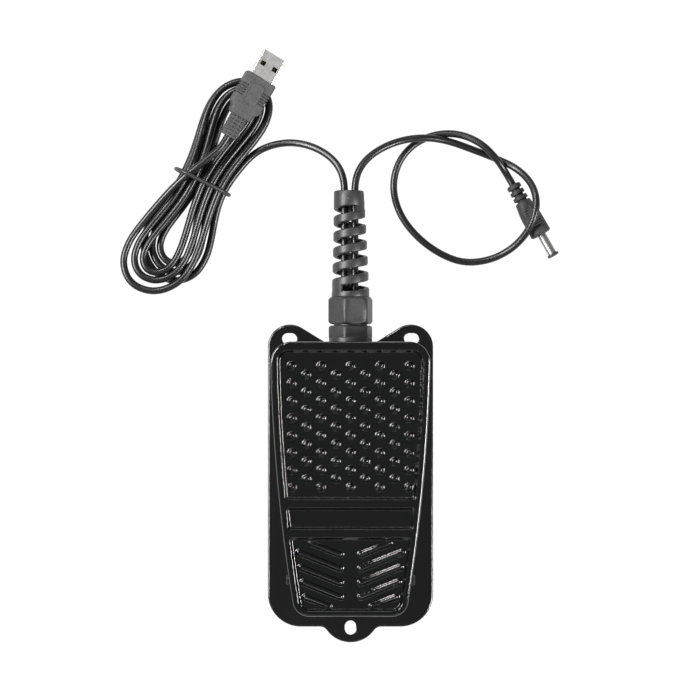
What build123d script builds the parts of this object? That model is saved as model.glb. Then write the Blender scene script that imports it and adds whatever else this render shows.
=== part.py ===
from build123d import *

import os
from math import atan2, cos, degrees, hypot, pi, radians, sin, sqrt, tan

# Foot pedal: a pressed tread hinged near its heel over a steel base plate, with a snap
# switch inside, a spiral gland at the toe, and two thin cords to a USB and a barrel plug.
# Millimetres. X runs across, Y from heel to toe, Z up. The origin is the centre of the
# base plate on the floor.

os.makedirs("parts", exist_ok=True)

# Base plate
plate_width = 80.0
plate_thickness = 1.5
plate_top = 3.2
plate_heel = -69.3
plate_toe = 66.5
plate_heel_corner = 16.0
rim_depth = 2.5
rim_wall = 1.2
rim_bevel = 0.8
ear_radius = 10.8
ear_reach = 76.9
ear_slope = 31.6
ear_blend = 4.0
heel_tab_radius = 14.1
heel_tab_reach = 76.9
heel_tab_blend = 4.0

# Screw slots in the plate
slot_width = 5.3
toe_slot_length = 7.1
toe_slot_x = 29.5
toe_slot_y = 70.0
heel_slot_length = 6.9
heel_slot_y = -69.7

# Underside pad
pad_clearance = 0.4
pad_slot_margin = 0.6

# Chassis, a folded steel channel on the plate
chassis_width = 46.0
chassis_sheet = 1.5
chassis_heel = -52.5
chassis_toe = 65.0
chassis_side_height = 16.8
chassis_front_height = 22.3
chassis_corner = 5.5
chassis_front_ramp = 14.0

# Rivets that hold the chassis to the plate
rivet_shank = 1.6
rivet_head = 3.2
rivet_head_height = 1.1
rivet_bevel = 0.6
rivet_x = 17.0
rivet_ys = (-46.5, 50.0)

# Hinge
hinge_y = -45.3
hinge_z = 14.0
pin_radius = 2.0
pin_head_radius = 2.65
pin_head_height = 1.2
pin_head_bevel = 0.5
bush_radius = 3.0
bush_collar_radius = 4.2
running_clearance = 0.05
side_clearance = 0.3
pedal_travel = 6.0

# Tread, a pressed sheet with side skirts
tread_sheet = 1.2
tread_toe = 68.5
tread_heel = -62.1
tread_toe_half = 37.4
tread_mid_half = 34.4
tread_heel_half = 26.3
tread_toe_corner = 10.0
tread_heel_corner = 8.0
tread_edge_bevel = 1.9
tread_edge_second = 0.7
tread_inner_bevel = 1.2
tread_heel_height = 22.0
tread_toe_height = 42.0
skirt_heel_height = 6.0
skirt_toe_height = 20.0
skirt_notch_radius = 13.0
skirt_notch_top = 38.2

# Sunken panels of the tread, measured along its slope
panel_depth = 1.3
panel_draft = 35.0
rib_width = 3.8
side_rim = 3.3
toe_rim = 4.0
heel_rim = 2.8
dot_panel_length = 71.3
bar_panel_length = 10.6
panel_corner = 5.0
panel_small_corner = 1.5

# Raised dots of the long panel, in a five and four quincunx
dot_radius = 2.3
dot_height = 1.25
dot_draft = 36.0
dot_sides = 12
dot_columns = 5
dot_column_pitch = 13.75
dot_rows = 8
dot_row_pitch = 8.27
dot_first_row = 7.4

# Raised chevron bars of the heel panel
bar_width = 3.1
bar_height = 1.1
bar_draft = 28.0
bar_tilt = 22.5
bar_pitch = 6.9
bar_first = 8.25
bar_inner_x = 4.9
bar_edge_gap = 3.05
bar_count = 5
bar_first_x = 18.0
bar_last_inner_x = 10.3

# Rubber stops
stop_width = 3.8
stop_length = 10.0
stop_gap = 0.3
stop_round = 0.8
toe_stop_y = 50.0
heel_stop_length = 24.0

# Return springs
spring_x = 13.0
spring_y = 21.0
spring_radius = 5.0
spring_wire = 1.3
spring_turns = 4.5
spring_wire_sides = 6
spring_seat_radius = 6.6
spring_seat_height = 1.5
spring_post_radius = 3.6
spring_post_height = 7.0
spring_post_bevel = 0.8
spring_cap_z = 29.6
spring_gap = 0.3

# Snap switch
case_length = 19.8
case_width = 6.4
case_height = 10.2
case_heel = -38.3
case_base = 7.6
case_bevel = 0.4
case_holes = 9.5
case_hole_radius = 1.1
case_hole_rise = 3.0
lug_sheet = 0.8
lug_length = 2.4
lug_gap = 0.35
lug_crown = 0.6
lever_pivot_inset = 2.0
lever_reach = 20.0
lever_sheet = 0.4
lever_width = 4.0
lever_tip = 1.2
lever_pin_radius = 0.5
lever_rise = 0.8
plunger_reach = 5.0
plunger_radius = 1.0
plunger_gap = 0.1
plunger_depth = 2.0
plunger_bore_depth = 3.0
plunger_bevel = 0.5
terminal_width = 2.8
terminal_sheet = 0.5
terminal_length = 2.6
terminal_pitch = 7.3
solder_gap = 0.25
switch_screw_head = 1.9
switch_screw_rise = 1.4
switch_screw_bevel = 0.4
switch_screw_stub = 0.6
switch_nut_flats = 4.0
switch_nut_height = 1.6
bracket_sheet = 1.2
bracket_foot = 9.0
bracket_margin = 1.0
bracket_drop = 1.5
actuator_radius = 1.5
actuator_gap = 0.3
actuator_bevel = 0.6
actuator_top_gap = 0.6
boss_radius = 3.4
boss_drop = 1.9
locknut_flats = 5.5
locknut_height = 1.5

# Cable gland
gland_z = 15.0
gland_flange_radius = 10.3
gland_washer_thickness = 1.0
gland_flange_length = 5.0
gland_flange_bevel = 0.8
gland_hex_length = 5.2
gland_hex_flats = 19.0
gland_thread_radius = 7.6
gland_hole_clearance = 0.1
gland_thread_length = 8.0
gland_bore = 5.6
gland_neck_radius = 8.0
gland_neck_length = 4.4
locknut_ring_flats = 18.0
locknut_ring_length = 4.5
nut_gap = 0.6
nut_flats = 19.2
nut_length = 13.1
nut_turn = 14.0
nut_chamfer = 0.9
nut_corner_radius = 10.56
nut_seat_gap = 0.2
nut_mouth = 1.5
nut_mouth_radius = 5.95
seal_radius = 6.6
seal_length = 7.0
seal_gap = 0.3

# Spiral tail of the gland nut
tail_length = 50.6
tail_base_radius = 9.05
tail_tip_radius = 7.15
tail_wall = 1.9
tail_band = 3.9
tail_pitch = 7.5
tail_collar = 7.2
tail_foot = 2.6
winding_steps = 14

# Cords
cord_diameter = 3.5
cord_sides = 8
lead_sides = 6
usb_exit_x = -2.9
dc_exit_x = 2.1
wire_diameter = 1.3
clamp_y = 31.0
clamp_width = 7.0
clamp_sheet = 1.0
clamp_screw_head = 2.4
clamp_screw_bevel = 0.6
clamp_screw_rise = 1.6
clamp_screw_radius = 1.25
clamp_spread = 3.2
clamp_ear = 6.0
clamp_round = 1.5
lead_z = 6.9
heading_step = 1e-4

# Hank of the long cord, measured from its tie
hank_centre = (-71.8, 145.8)
hank_axis = 63.82
hank_pitch = 4.22
hank_layer = 4.0
hank_floor_gap = 0.15
hank_lobe = 14.8
hank_top = 46.0
hank_bottom_lower = 40.0
hank_bottom_upper = 48.0
hank_top_lean = 2.0
hank_lower_lean = 3.5
hank_upper_lean = -3.0
hank_start = -0.04
hank_turnback = 2.75
hank_end = 5.38
hank_steps = 10
hank_lift = 2.0
hank_lift_reach = 20.0
tie_diameter = 1.6
tie_gap = 0.35
tie_corner = 1.9
tie_strand_z = 13.1

# USB plug
usb_tail = (-58.6, 166.9, 13.9)
usb_heading = 60.0
usb_roll = 15.0
relief_width = 8.4
relief_thickness = 6.0
relief_length = 10.7
relief_ribs = 6
relief_bevel = 1.1
relief_core_width = 6.0
relief_core_thickness = 4.4
relief_web_y = 1.7
relief_web_width = 0.9
relief_web_thickness = 5.5
grip_width = 15.8
grip_thickness = 8.0
grip_rear_width = 11.8
grip_length = 21.0
grip_shoulder_start = 2.8
grip_shoulder_end = 5.0
grip_shoulder_inset = 0.5
grip_front_bevel = 0.4
grip_grooves = 5
grip_groove_pitch = 1.35
grip_groove_inset = 6.0
grip_groove_width = 0.6
grip_groove_reach = 3.5
grip_groove_depth = 0.4
grip_pad_inset = 8.9
grip_pad_length = 11.5
grip_pad_width = 7.2
grip_pad_rise = 0.25
grip_pad_corner = 0.8
grip_pocket = 3.0
usb_shell_width = 12.0
usb_shell_thickness = 4.5
usb_shell_length = 12.8
usb_shell_sheet = 0.3
usb_shell_corner = 0.6
usb_window_x = 6.2
usb_window_y = 3.2
usb_window_length = 2.2
usb_window_width = 2.5
usb_back_length = 3.2
usb_tongue_thickness = 1.9
usb_tongue_recess = 1.2
usb_contact_pitch = 2.3
usb_contact_length = 8.0
usb_contact_width = 1.0
usb_contact_inset = 4.2
usb_contact_sheet = 0.15

# Barrel plug
dc_tail = (78.5, 144.2, 3.6)
dc_heading = -60.6
dc_rise = 4.4
dc_body_length = 27.6
dc_tail_radius = 3.5
dc_body_radius = 5.15
dc_waist_radius = 2.52
dc_groove_start = 2.2
dc_groove_width = 1.1
dc_rib_pitch = 3.0
dc_rib_growth = 0.22
dc_front_length = 9.0
dc_front_bevel = 0.8
dc_pocket = 3.0
dc_barrel_radius = 2.1
dc_barrel_length = 10.8
dc_tip_radius = 2.85
dc_tip_length = 1.2
dc_tip_bevel = 0.3
dc_bore = 1.1

# Heights and places that follow from the sizes above
plate_under = plate_top - plate_thickness
rim_bottom = plate_top - rim_depth
floor_top = plate_top + chassis_sheet
chassis_half = chassis_width / 2
tread_slope = degrees(atan2(tread_toe_height - tread_heel_height, tread_toe - tread_heel))
slope_cos = cos(radians(tread_slope))
slope_tan = tan(radians(tread_slope))
skirt_slope = (skirt_toe_height - skirt_heel_height) / (tread_toe - tread_heel)
tread_length = (tread_toe - tread_heel) / slope_cos
tread_plane = Plane(
    origin=(0, tread_heel, tread_heel_height),
    x_dir=(1, 0, 0),
    z_dir=(0, -sin(radians(tread_slope)), slope_cos),
)
wall_face = chassis_toe
flange_start = wall_face + gland_washer_thickness
hex_start = flange_start + gland_flange_length
neck_start = hex_start + gland_hex_length
nut_start = neck_start + nut_gap
tail_start = nut_start + nut_length
tail_end = tail_start + tail_length


def tread_height(y):
    """Height of the tread's top plane at a place along the pedal."""
    return tread_heel_height + (y - tread_heel) * slope_tan


def skirt_bottom(y):
    """Height of the skirt's lower edge at a place along the pedal."""
    return skirt_heel_height + (y - tread_heel) * skirt_slope


def panel_underside(y):
    """Height of the sheet's underside below a sunken panel."""
    return tread_height(y) - (panel_depth + tread_sheet) / slope_cos


def pressed(y, z):
    """Where a point of the pedal lies at full travel."""
    turn = radians(pedal_travel)
    along, up = y - hinge_y, z - hinge_z
    return hinge_y + along * cos(turn) + up * sin(turn), hinge_z + up * cos(turn) - along * sin(turn)


def save(shape, name):
    """Writes one sub-part."""
    export_step(shape, f"parts/{name}.step")


def upright(sketch, low, high):
    """A flat sketch raised into a block between two heights."""
    return extrude(Pos(0, 0, low) * sketch, high - low)


def across(outline, width):
    """A side-view outline of (y, z) points as a block centred across the pedal."""
    return extrude(Plane.YZ * make_face(Polyline(*outline, close=True)), width / 2, both=True)


def along_y(x, z, start):
    """A plane that faces the toe, with its own Y axis pointing up."""
    return Plane(origin=(x, start, z), x_dir=(-1, 0, 0), z_dir=(0, 1, 0))


def rod(radius, start, end, x=0.0, z=gland_z):
    """A round bar along the pedal."""
    return extrude(along_y(x, z, start) * Circle(radius), end - start)


def hex_bar(flats, start, end, turn=0.0, z=gland_z):
    """A hexagonal bar along the pedal, with two flats at its sides before it is turned."""
    profile = RegularPolygon(flats / 2, 6, major_radius=False, rotation=30 + turn)
    return extrude(along_y(0, z, start) * profile, end - start)


def cross_rod(radius, start, end, y=hinge_y, z=hinge_z):
    """A round bar across the pedal."""
    face = Plane(origin=(start, y, z), x_dir=(0, 1, 0), z_dir=(1, 0, 0)) * Circle(radius)
    return extrude(face, end - start)


def biarc(start, leave, end, arrive):
    """Two tangent arcs from one point and heading to another."""
    chord = end - start
    headings = leave + arrive
    spread = 2 * (1 - leave.dot(arrive))
    reach = chord.dot(headings)
    if spread < 1e-9:
        arm = chord.dot(chord) / (2 * reach)
    else:
        arm = (sqrt(reach * reach + spread * chord.dot(chord)) - reach) / spread
    middle = (start + end + (leave - arrive) * arm) * 0.5
    first = Edge.make_tangent_arc(start, leave, middle)
    second = Edge.make_tangent_arc(middle, first % 1, end)
    return [first, second]


def arc_path(place, values):
    """Biarcs through a curve given by a formula, with its headings taken from it."""
    edges = []
    points = [place(value) for value in values]
    headings = [(place(value + heading_step) - place(value - heading_step)).normalized() for value in values]
    for index in range(len(points) - 1):
        edges += biarc(points[index], headings[index], points[index + 1], headings[index + 1])
    return edges


def steps(first, last, count):
    """Evenly spaced values from first to last."""
    return [first + (last - first) * index / count for index in range(count + 1)]


def winding(place, outward, turns, step_count, section):
    """A band or wire wound round an axis, as flat faces through sections at even steps."""
    sections = []
    for turn in steps(0, turns, round(step_count * turns)):
        heading = (place(turn + heading_step) - place(turn - heading_step)).normalized()
        frame = Plane(origin=place(turn), x_dir=outward(turn), z_dir=heading)
        sections.append(frame * section)
    return loft(sections, ruled=True)


def cord_tube(points, diameter, name, sides=cord_sides):
    """A cord along hand-chosen points, with each corner's arc as large as its runs allow."""
    spots = [Vector(*point) for point in points]
    runs = [second - first for first, second in zip(spots, spots[1:])]
    radii = []
    for before, after in zip(runs, runs[1:]):
        half_turn = radians(before.get_angle(after)) / 2
        radii.append(0.45 * min(before.length, after.length) / tan(half_turn))
    path = FilletPolyline(*spots, radius=radii)
    profile = Rot(0, 0, 180 / sides) * RegularPolygon(diameter / 2, sides)
    face = Plane(origin=path @ 0, x_dir=across_run(path % 0), z_dir=path % 0) * profile
    tube = sweep(face, path=path)
    share = tube.volume / (face.area * path.length)
    print(name, "length", round(path.length, 1), "least radius", round(min(radii), 1),
          "volume share", round(share, 4), "radii", [round(radius) for radius in radii])
    return tube


def across_run(run):
    """A level direction square to a run."""
    return Vector(0, 0, 1).cross(run).normalized()


# Base plate outline: a rectangle, two toe ears and a heel tab


def ear(side):
    """One toe ear with its sloping inner edge."""
    centre_x = plate_width / 2 - ear_radius
    centre_y = ear_reach - ear_radius
    lean = radians(ear_slope)
    touch_x = centre_x - ear_radius * sin(lean)
    touch_y = centre_y + ear_radius * cos(lean)
    foot_x = touch_x - (touch_y - plate_toe) / tan(lean)
    low = plate_toe - ear_radius
    web = [(touch_x, touch_y), (foot_x, plate_toe), (foot_x, low), (centre_x, low), (centre_x, centre_y)]
    shape = make_face(Polyline(*web, close=True)) + Pos(centre_x, centre_y) * Circle(ear_radius)
    return (shape if side > 0 else mirror(shape, about=Plane.YZ)), foot_x


def corners_at(face, x, y):
    """The two corners of a flat outline that lie at a place and its mirror image."""
    return [v for v in face.vertices() if abs(v.Y - y) < 0.01 and abs(abs(v.X) - x) < 0.01]


def plate_outline():
    """The plate's plan view."""
    length = plate_toe - plate_heel
    body = Pos(0, plate_heel + length / 2) * Rectangle(plate_width, length)
    heel_corners = body.vertices().group_by(Axis.Y)[0]
    body = fillet(heel_corners, plate_heel_corner)
    right, foot_x = ear(1)
    left, _ = ear(-1)
    centre_y = ear_reach - ear_radius
    square_off = [
        Pos(side * plate_width / 2, centre_y + ear_radius / 2)
        * Rectangle(2 * ear_radius, ear_radius)
        for side in (-1, 1)
    ]
    body = body - square_off + right + left
    body += Pos(0, heel_tab_radius - heel_tab_reach) * Circle(heel_tab_radius)
    tab_x = sqrt(heel_tab_radius**2 - (plate_heel - heel_tab_radius + heel_tab_reach) ** 2)
    body = fillet(corners_at(body, foot_x, plate_toe), ear_blend)
    return fillet(corners_at(body, tab_x, plate_heel), heel_tab_blend)


def screw_slots(margin=0.0):
    """The three screw slots, two across the toe ears and one along the heel tab."""
    width = slot_width + 2 * margin
    slots = []
    for side in (-1, 1):
        slots.append(Pos(side * toe_slot_x, toe_slot_y) * SlotOverall(toe_slot_length + 2 * margin, width))
    slots.append(Pos(0, heel_slot_y) * SlotOverall(heel_slot_length + 2 * margin, width, rotation=90))
    return slots


def rivet_places():
    """Centres of the four chassis rivets."""
    return [(x, y) for x in (-rivet_x, rivet_x) for y in rivet_ys]


def base_plate():
    """Pressed plate with its edge turned down around the pad."""
    outline = plate_outline()
    plate = upright(outline, rim_bottom, plate_top)
    plate = chamfer(plate.edges().group_by(Axis.Z)[-1], rim_bevel)
    plate -= upright(offset(outline, -rim_wall), rim_bottom, plate_under)
    for slot in screw_slots():
        plate -= upright(slot, 0, plate_top)
    for x, y in rivet_places():
        plate -= upright(Pos(x, y) * Circle(rivet_shank), 0, plate_top)
    return plate


def underside_pad():
    """Rubber pad that fills the plate's recess and stands on the floor."""
    pad = upright(offset(plate_outline(), -rim_wall - pad_clearance), 0, plate_under)
    for slot in screw_slots(pad_slot_margin):
        pad -= upright(slot, 0, plate_under)
    return pad


# Chassis


def chassis():
    """Floor, two sides and a front wall of one folded sheet."""
    side_top = plate_top + chassis_side_height
    front_top = plate_top + chassis_front_height
    ramp_end = chassis_toe - chassis_front_ramp
    side_profile = [
        (chassis_heel, plate_top), (chassis_toe, plate_top), (chassis_toe, front_top),
        (chassis_toe - chassis_sheet, front_top), (ramp_end, side_top), (chassis_heel, side_top),
    ]
    outer = across(side_profile, chassis_width)
    rear_edges = outer.edges().filter_by(Axis.X).group_by(Axis.Y)[0].sort_by(Axis.Z)[-1:]
    outer = fillet(rear_edges, chassis_corner)
    inner_width = chassis_width - 2 * chassis_sheet
    inner_y = chassis_toe - chassis_sheet
    start, top = chassis_heel - 1, front_top + 1
    inner = across([(start, floor_top), (inner_y, floor_top), (inner_y, top), (start, top)], inner_width)
    shell = outer - inner
    shell = fillet(shell.edges().filter_by(Axis.Z).group_by(Axis.Y)[-1], chassis_sheet)
    shell -= rod(gland_thread_radius + gland_hole_clearance, inner_y - 1, chassis_toe + 1)
    shell -= cross_rod(pin_radius, -chassis_half - 1, chassis_half + 1)
    for x, y in rivet_places():
        shell -= upright(Pos(x, y) * Circle(rivet_shank), plate_top, floor_top)
    return shell


def chassis_rivets():
    """Four rivets through the chassis floor and the plate."""
    rivets = []
    for x, y in rivet_places():
        shank = upright(Pos(x, y) * Circle(rivet_shank), plate_under, floor_top)
        head = upright(Pos(x, y) * Circle(rivet_head), floor_top, floor_top + rivet_head_height)
        head = chamfer(head.edges().group_by(Axis.Z)[-1], rivet_bevel)
        rivets.append(shank + head)
    return Compound(children=rivets)


# Tread


def tread_outline(inset=0.0):
    """Plan view of the tread: straight ends, bowed sides and rounded corners."""
    toe, heel = tread_toe, tread_heel
    middle = (toe + heel) / 2
    right = ThreePointArc((tread_toe_half, toe), (tread_mid_half, middle), (tread_heel_half, heel))
    left = ThreePointArc((-tread_heel_half, heel), (-tread_mid_half, middle), (-tread_toe_half, toe))
    face = make_face([
        Line((-tread_toe_half, toe), (tread_toe_half, toe)),
        right,
        Line((tread_heel_half, heel), (-tread_heel_half, heel)),
        left,
    ])
    ends = face.vertices().group_by(Axis.Y)
    face = fillet(ends[-1], tread_toe_corner)
    face = fillet(face.vertices().group_by(Axis.Y)[0], tread_heel_corner)
    return offset(face, -inset) if inset else face


def slope_wedge(top_drop, bottom):
    """Block between the tread's slope, lowered by top_drop, and a lower line."""
    reach = 20.0
    low, high = tread_heel - reach, tread_toe + reach
    drop = top_drop / slope_cos
    outline = [
        (low, bottom(low)), (high, bottom(high)),
        (high, tread_height(high) - drop), (low, tread_height(low) - drop),
    ]
    return across(outline, 3 * tread_toe_half)


def half_width(y):
    """Half width of the tread's plan at a place along it, on the arc of its side."""
    toe, heel = tread_toe, tread_heel
    middle = (toe + heel) / 2
    reach = (y - middle) / (toe - middle)
    bow = tread_mid_half - (tread_toe_half + tread_heel_half) / 2
    return tread_mid_half - bow * reach**2 + (tread_toe_half - tread_heel_half) / 2 * reach


def panel_sketch(start, length, corner, small_corner, grow=0.0):
    """A sunken panel's outline on the tread's slope, following the tapering sides."""
    points = []
    for place in (start, start + length):
        y = tread_heel + place * slope_cos
        points.append((half_width(y) - side_rim, place))
    (low_x, low_y), (high_x, high_y) = points
    corners = [(-low_x, low_y), (low_x, low_y), (high_x, high_y), (-high_x, high_y)]
    face = make_face(Polyline(*corners, close=True))
    ends = face.vertices().group_by(Axis.Y)
    face = fillet(ends[-1], corner)
    face = fillet(face.vertices().group_by(Axis.Y)[0], small_corner)
    return offset(face, grow) if grow else face


def panels():
    """Start, length and corner radii of the three panels, from heel to toe."""
    dot_start = tread_length - toe_rim - dot_panel_length
    bar_start = dot_start - rib_width - bar_panel_length
    chevron_length = bar_start - rib_width - heel_rim
    return [
        (heel_rim, chevron_length, panel_small_corner, panel_corner),
        (bar_start, bar_panel_length, panel_small_corner, panel_small_corner),
        (dot_start, dot_panel_length, panel_corner, panel_small_corner),
    ]


def dots():
    """Round pressed dots in eight rows of five with rows of four between them."""
    dot = extrude(RegularPolygon(dot_radius, dot_sides), dot_height, taper=dot_draft)
    top_row = tread_length - toe_rim - dot_first_row
    places = []
    for row in range(2 * dot_rows - 1):
        count = dot_columns - row % 2
        for column in range(count):
            x = (column - (count - 1) / 2) * dot_column_pitch
            places.append((x, top_row - row * dot_row_pitch / 2, -panel_depth))
    return [tread_plane * Pos(*place) * dot for place in places]


def chevron_bars():
    """Round-ended bars that slope down towards the middle of the heel panel."""
    start, length, _, _ = panels()[0]
    rise = tan(radians(bar_tilt))
    bars = []
    for index in range(bar_count):
        foot = start + length - bar_first - index * bar_pitch
        inner = bar_last_inner_x if index == bar_count - 1 else bar_inner_x
        reach = half_width(tread_heel + (foot + bar_pitch) * slope_cos) - side_rim - bar_edge_gap
        outer = bar_first_x if index == 0 else reach
        middle = (inner + outer) / 2
        span = (outer - inner) / cos(radians(bar_tilt)) + bar_width
        for side in (-1, 1):
            place = Pos(side * middle, foot + (middle - bar_inner_x) * rise, -panel_depth)
            bar = extrude(SlotOverall(span, bar_width), bar_height, taper=bar_draft)
            bars.append(tread_plane * place * Rot(0, 0, side * bar_tilt) * bar)
    return bars


def pedal_tread():
    """The pressed tread with its skirt, panels, dots and bars."""
    tread = upright(tread_outline(), 0, 2 * tread_toe_height) & slope_wedge(0, skirt_bottom)
    for bevel in (tread_edge_bevel, tread_edge_second):
        tread = chamfer(tread.faces().sort_by(Axis.Z)[-1].edges(), bevel)
    hollow = upright(tread_outline(tread_sheet), 0, 2 * tread_toe_height)
    hollow &= slope_wedge(tread_sheet, lambda y: -1)
    hollow = chamfer(hollow.faces().sort_by(Axis.Z)[-1].edges(), tread_inner_bevel)
    for start, length, corner, small in panels():
        dish = panel_sketch(start, length, corner, small, tread_sheet / 2)
        below = panel_depth + tread_sheet
        hollow -= tread_plane * Pos(0, 0, -below) * extrude(dish, below)
    tread -= hollow
    for start, length, corner, small in panels():
        dish = panel_sketch(start, length, corner, small)
        tread -= tread_plane * extrude(dish, -panel_depth, taper=panel_draft)
    for piece in dots() + chevron_bars():
        tread += piece
    notch = Plane.XZ * (
        Pos(0, skirt_notch_top - skirt_notch_radius) * Circle(skirt_notch_radius)
        + Pos(0, (skirt_notch_top - skirt_notch_radius) / 2)
        * Rectangle(2 * skirt_notch_radius, skirt_notch_top - skirt_notch_radius)
    )
    tread -= Pos(0, tread_toe + 5, 0) * extrude(notch, 5 + 2.4 * tread_sheet)
    tread -= cross_rod(bush_radius, -tread_toe_half, tread_toe_half)
    return tread


# Hinge


def skirt_outer_x():
    """Half width across the skirts at the hinge, at the wider side of the pin's head."""
    return half_width(hinge_y + pin_head_radius)


def hinge_pin():
    """One steel pin across both skirts and the chassis, with a head at each end."""
    head_start = skirt_outer_x() + side_clearance
    pin = cross_rod(pin_radius, -head_start, head_start)
    for side in (-1, 1):
        start = side * head_start
        head = cross_rod(pin_head_radius, min(start, start + side * pin_head_height),
                         max(start, start + side * pin_head_height))
        outer = head.edges().group_by(Axis.X)[-1 if side > 0 else 0]
        pin += chamfer(outer, pin_head_bevel)
    return pin


def hinge_bushes():
    """Collared nylon bushes that carry the skirts on the pin."""
    bore = pin_radius + running_clearance
    bushes = []
    inner = chassis_half + side_clearance
    for side in (-1, 1):
        skirt_inner = half_width(hinge_y - bush_collar_radius) - tread_sheet - side_clearance
        skirt_outer = half_width(hinge_y - bush_radius)
        collar = cross_rod(bush_collar_radius, inner, skirt_inner)
        nose = cross_rod(bush_radius, skirt_inner, skirt_outer)
        bush = collar + nose - cross_rod(bore, inner - 1, skirt_outer + 1)
        bushes.append(bush if side > 0 else mirror(bush, about=Plane.YZ))
    return Compound(children=bushes)


# Stops


def toe_stops():
    """Rubber blocks on the plate that the side skirts land on at full travel."""
    _, landing = pressed(toe_stop_y, skirt_bottom(toe_stop_y))
    height = landing - stop_gap - plate_top
    x = half_width(toe_stop_y) - stop_width / 2
    blocks = []
    for side in (-1, 1):
        block = Pos(side * x, toe_stop_y, plate_top + height / 2) * Box(stop_width, stop_length, height)
        blocks.append(fillet(block.edges().filter_by(Axis.Z), stop_round))
    return Compound(children=blocks)


def heel_stop():
    """Rubber strip under the heel skirt that the tread rests on."""
    height = skirt_heel_height - stop_gap - plate_top
    place = Pos(0, tread_heel + stop_width / 2, plate_top + height / 2)
    block = place * Box(heel_stop_length, stop_width, height)
    return fillet(block.edges().filter_by(Axis.Z), stop_round)


# Return springs


def spring_seats():
    """Seats with centre posts on the chassis floor."""
    seats = []
    for side in (-1, 1):
        place = Pos(side * spring_x, spring_y)
        seat = upright(place * Circle(spring_seat_radius), floor_top, floor_top + spring_seat_height)
        post = upright(place * Circle(spring_post_radius), floor_top, floor_top + spring_post_height)
        post = chamfer(post.edges().group_by(Axis.Z)[-1], spring_post_bevel)
        seats.append(seat + post)
    return Compound(children=seats)


def spring_caps():
    """Caps under the tread, level below and sloped to the sheet above."""
    caps = []
    for side in (-1, 1):
        disc = Pos(side * spring_x, spring_y) * Circle(spring_seat_radius)
        block = upright(disc, spring_cap_z, tread_toe_height)
        caps.append(block & slope_wedge(panel_depth + tread_sheet, lambda y: 0))
    return Compound(children=caps)


def springs():
    """A compression spring on each side, at its fitted length."""
    low = floor_top + spring_seat_height + spring_gap + spring_wire / 2
    high = spring_cap_z - spring_gap - spring_wire / 2
    coils = []
    for side in (-1, 1):

        def outward(turn):
            angle = 2 * pi * turn
            return Vector(cos(angle), sin(angle), 0)

        def place(turn, x=side * spring_x):
            height = low + (high - low) * turn / spring_turns
            return Vector(x, spring_y, height) + outward(turn) * spring_radius

        wire = RegularPolygon(spring_wire / 2, spring_wire_sides)
        coils.append(winding(place, outward, spring_turns, winding_steps, wire))
    return Compound(children=coils)


# Snap switch

case_toe = case_heel + case_length
case_top = case_base + case_height
lever_y = case_heel + lever_pivot_inset
lever_z = case_top + lever_pin_radius + lever_rise
lever_ratio = (lever_y + lever_reach - hinge_y) / lever_reach
lever_lift = pedal_travel * lever_ratio
plunger_y = lever_y + plunger_reach
actuator_y = lever_y + lever_reach * cos(radians(lever_lift))
lever_tip_z = lever_z + lever_sheet / 2 + lever_reach * sin(radians(lever_lift))


def switch_case():
    """Moulded case with two through holes and its lever ears."""
    middle = (case_heel + case_toe) / 2
    case = Pos(0, middle, case_base + case_height / 2) * Box(case_width, case_length, case_height)
    case = chamfer(case.edges().filter_by(Axis.Z), case_bevel)
    lug_height = lever_rise + 2 * lever_pin_radius + lug_crown
    lug_x = lever_width / 2 + lug_gap + lug_sheet / 2
    for side in (-1, 1):
        case += Pos(side * lug_x, lever_y, case_top + lug_height / 2) * Box(lug_sheet, lug_length, lug_height)
    case -= cross_rod(lever_pin_radius, -case_width, case_width, lever_y, lever_z)
    for y in (middle - case_holes / 2, middle + case_holes / 2):
        case -= cross_rod(case_hole_radius, -case_width, case_width, y, case_base + case_hole_rise)
    bore = Pos(0, plunger_y) * Circle(plunger_radius + running_clearance)
    return case - upright(bore, case_top - plunger_bore_depth, case_top)


def lever_pin():
    """Pin that the lever turns on."""
    half = lever_width / 2 + lug_gap + lug_sheet
    return cross_rod(lever_pin_radius, -half, half, lever_y, lever_z)


def switch_lever():
    """Spring-steel lever, raised at rest by the angle that it is pressed through."""
    eye = lever_pin_radius + running_clearance
    tip = lever_reach + lever_tip
    blade = Pos(0, tip / 2, lever_sheet / 2) * Box(lever_width, tip, lever_sheet)
    hub = extrude(Plane.YZ * Circle(eye + lever_sheet), lever_width / 2, both=True)
    bore = extrude(Plane.YZ * Circle(eye), lever_width, both=True)
    return Pos(0, lever_y, lever_z) * Rot(lever_lift, 0, 0) * (blade + hub - bore)


def switch_plunger():
    """Plunger that follows the lever's underside."""
    top = lever_z + plunger_reach * tan(radians(lever_lift)) - plunger_gap
    pin = upright(Pos(0, plunger_y) * Circle(plunger_radius), case_top - plunger_depth, top)
    return chamfer(pin.edges().group_by(Axis.Z)[-1], plunger_bevel)


def switch_terminals():
    """Three solder tabs under the case."""
    middle = (case_heel + case_toe) / 2
    tabs = []
    for index in (-1, 0, 1):
        y = middle + index * terminal_pitch
        tab = Box(terminal_width, terminal_sheet, terminal_length)
        tabs.append(Pos(0, y, case_base - terminal_length / 2) * tab)
    return Compound(children=tabs)


def switch_bracket():
    """Angle bracket on the chassis floor that the case is screwed to."""
    face_x = case_width / 2
    length = case_length - 2 * bracket_margin
    middle = (case_heel + case_toe) / 2
    height = case_top - bracket_drop - floor_top
    wall = Pos(face_x + bracket_sheet / 2, middle, floor_top + height / 2)
    wall *= Box(bracket_sheet, length, height)
    foot = Pos(face_x + bracket_foot / 2, middle, floor_top + bracket_sheet / 2)
    foot *= Box(bracket_foot, length, bracket_sheet)
    bracket = wall + foot
    for offset_y in (-case_holes / 2, case_holes / 2):
        bracket -= cross_rod(case_hole_radius, face_x - 1, face_x + 2 * bracket_sheet,
                             middle + offset_y, case_base + case_hole_rise)
    return bracket


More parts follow.
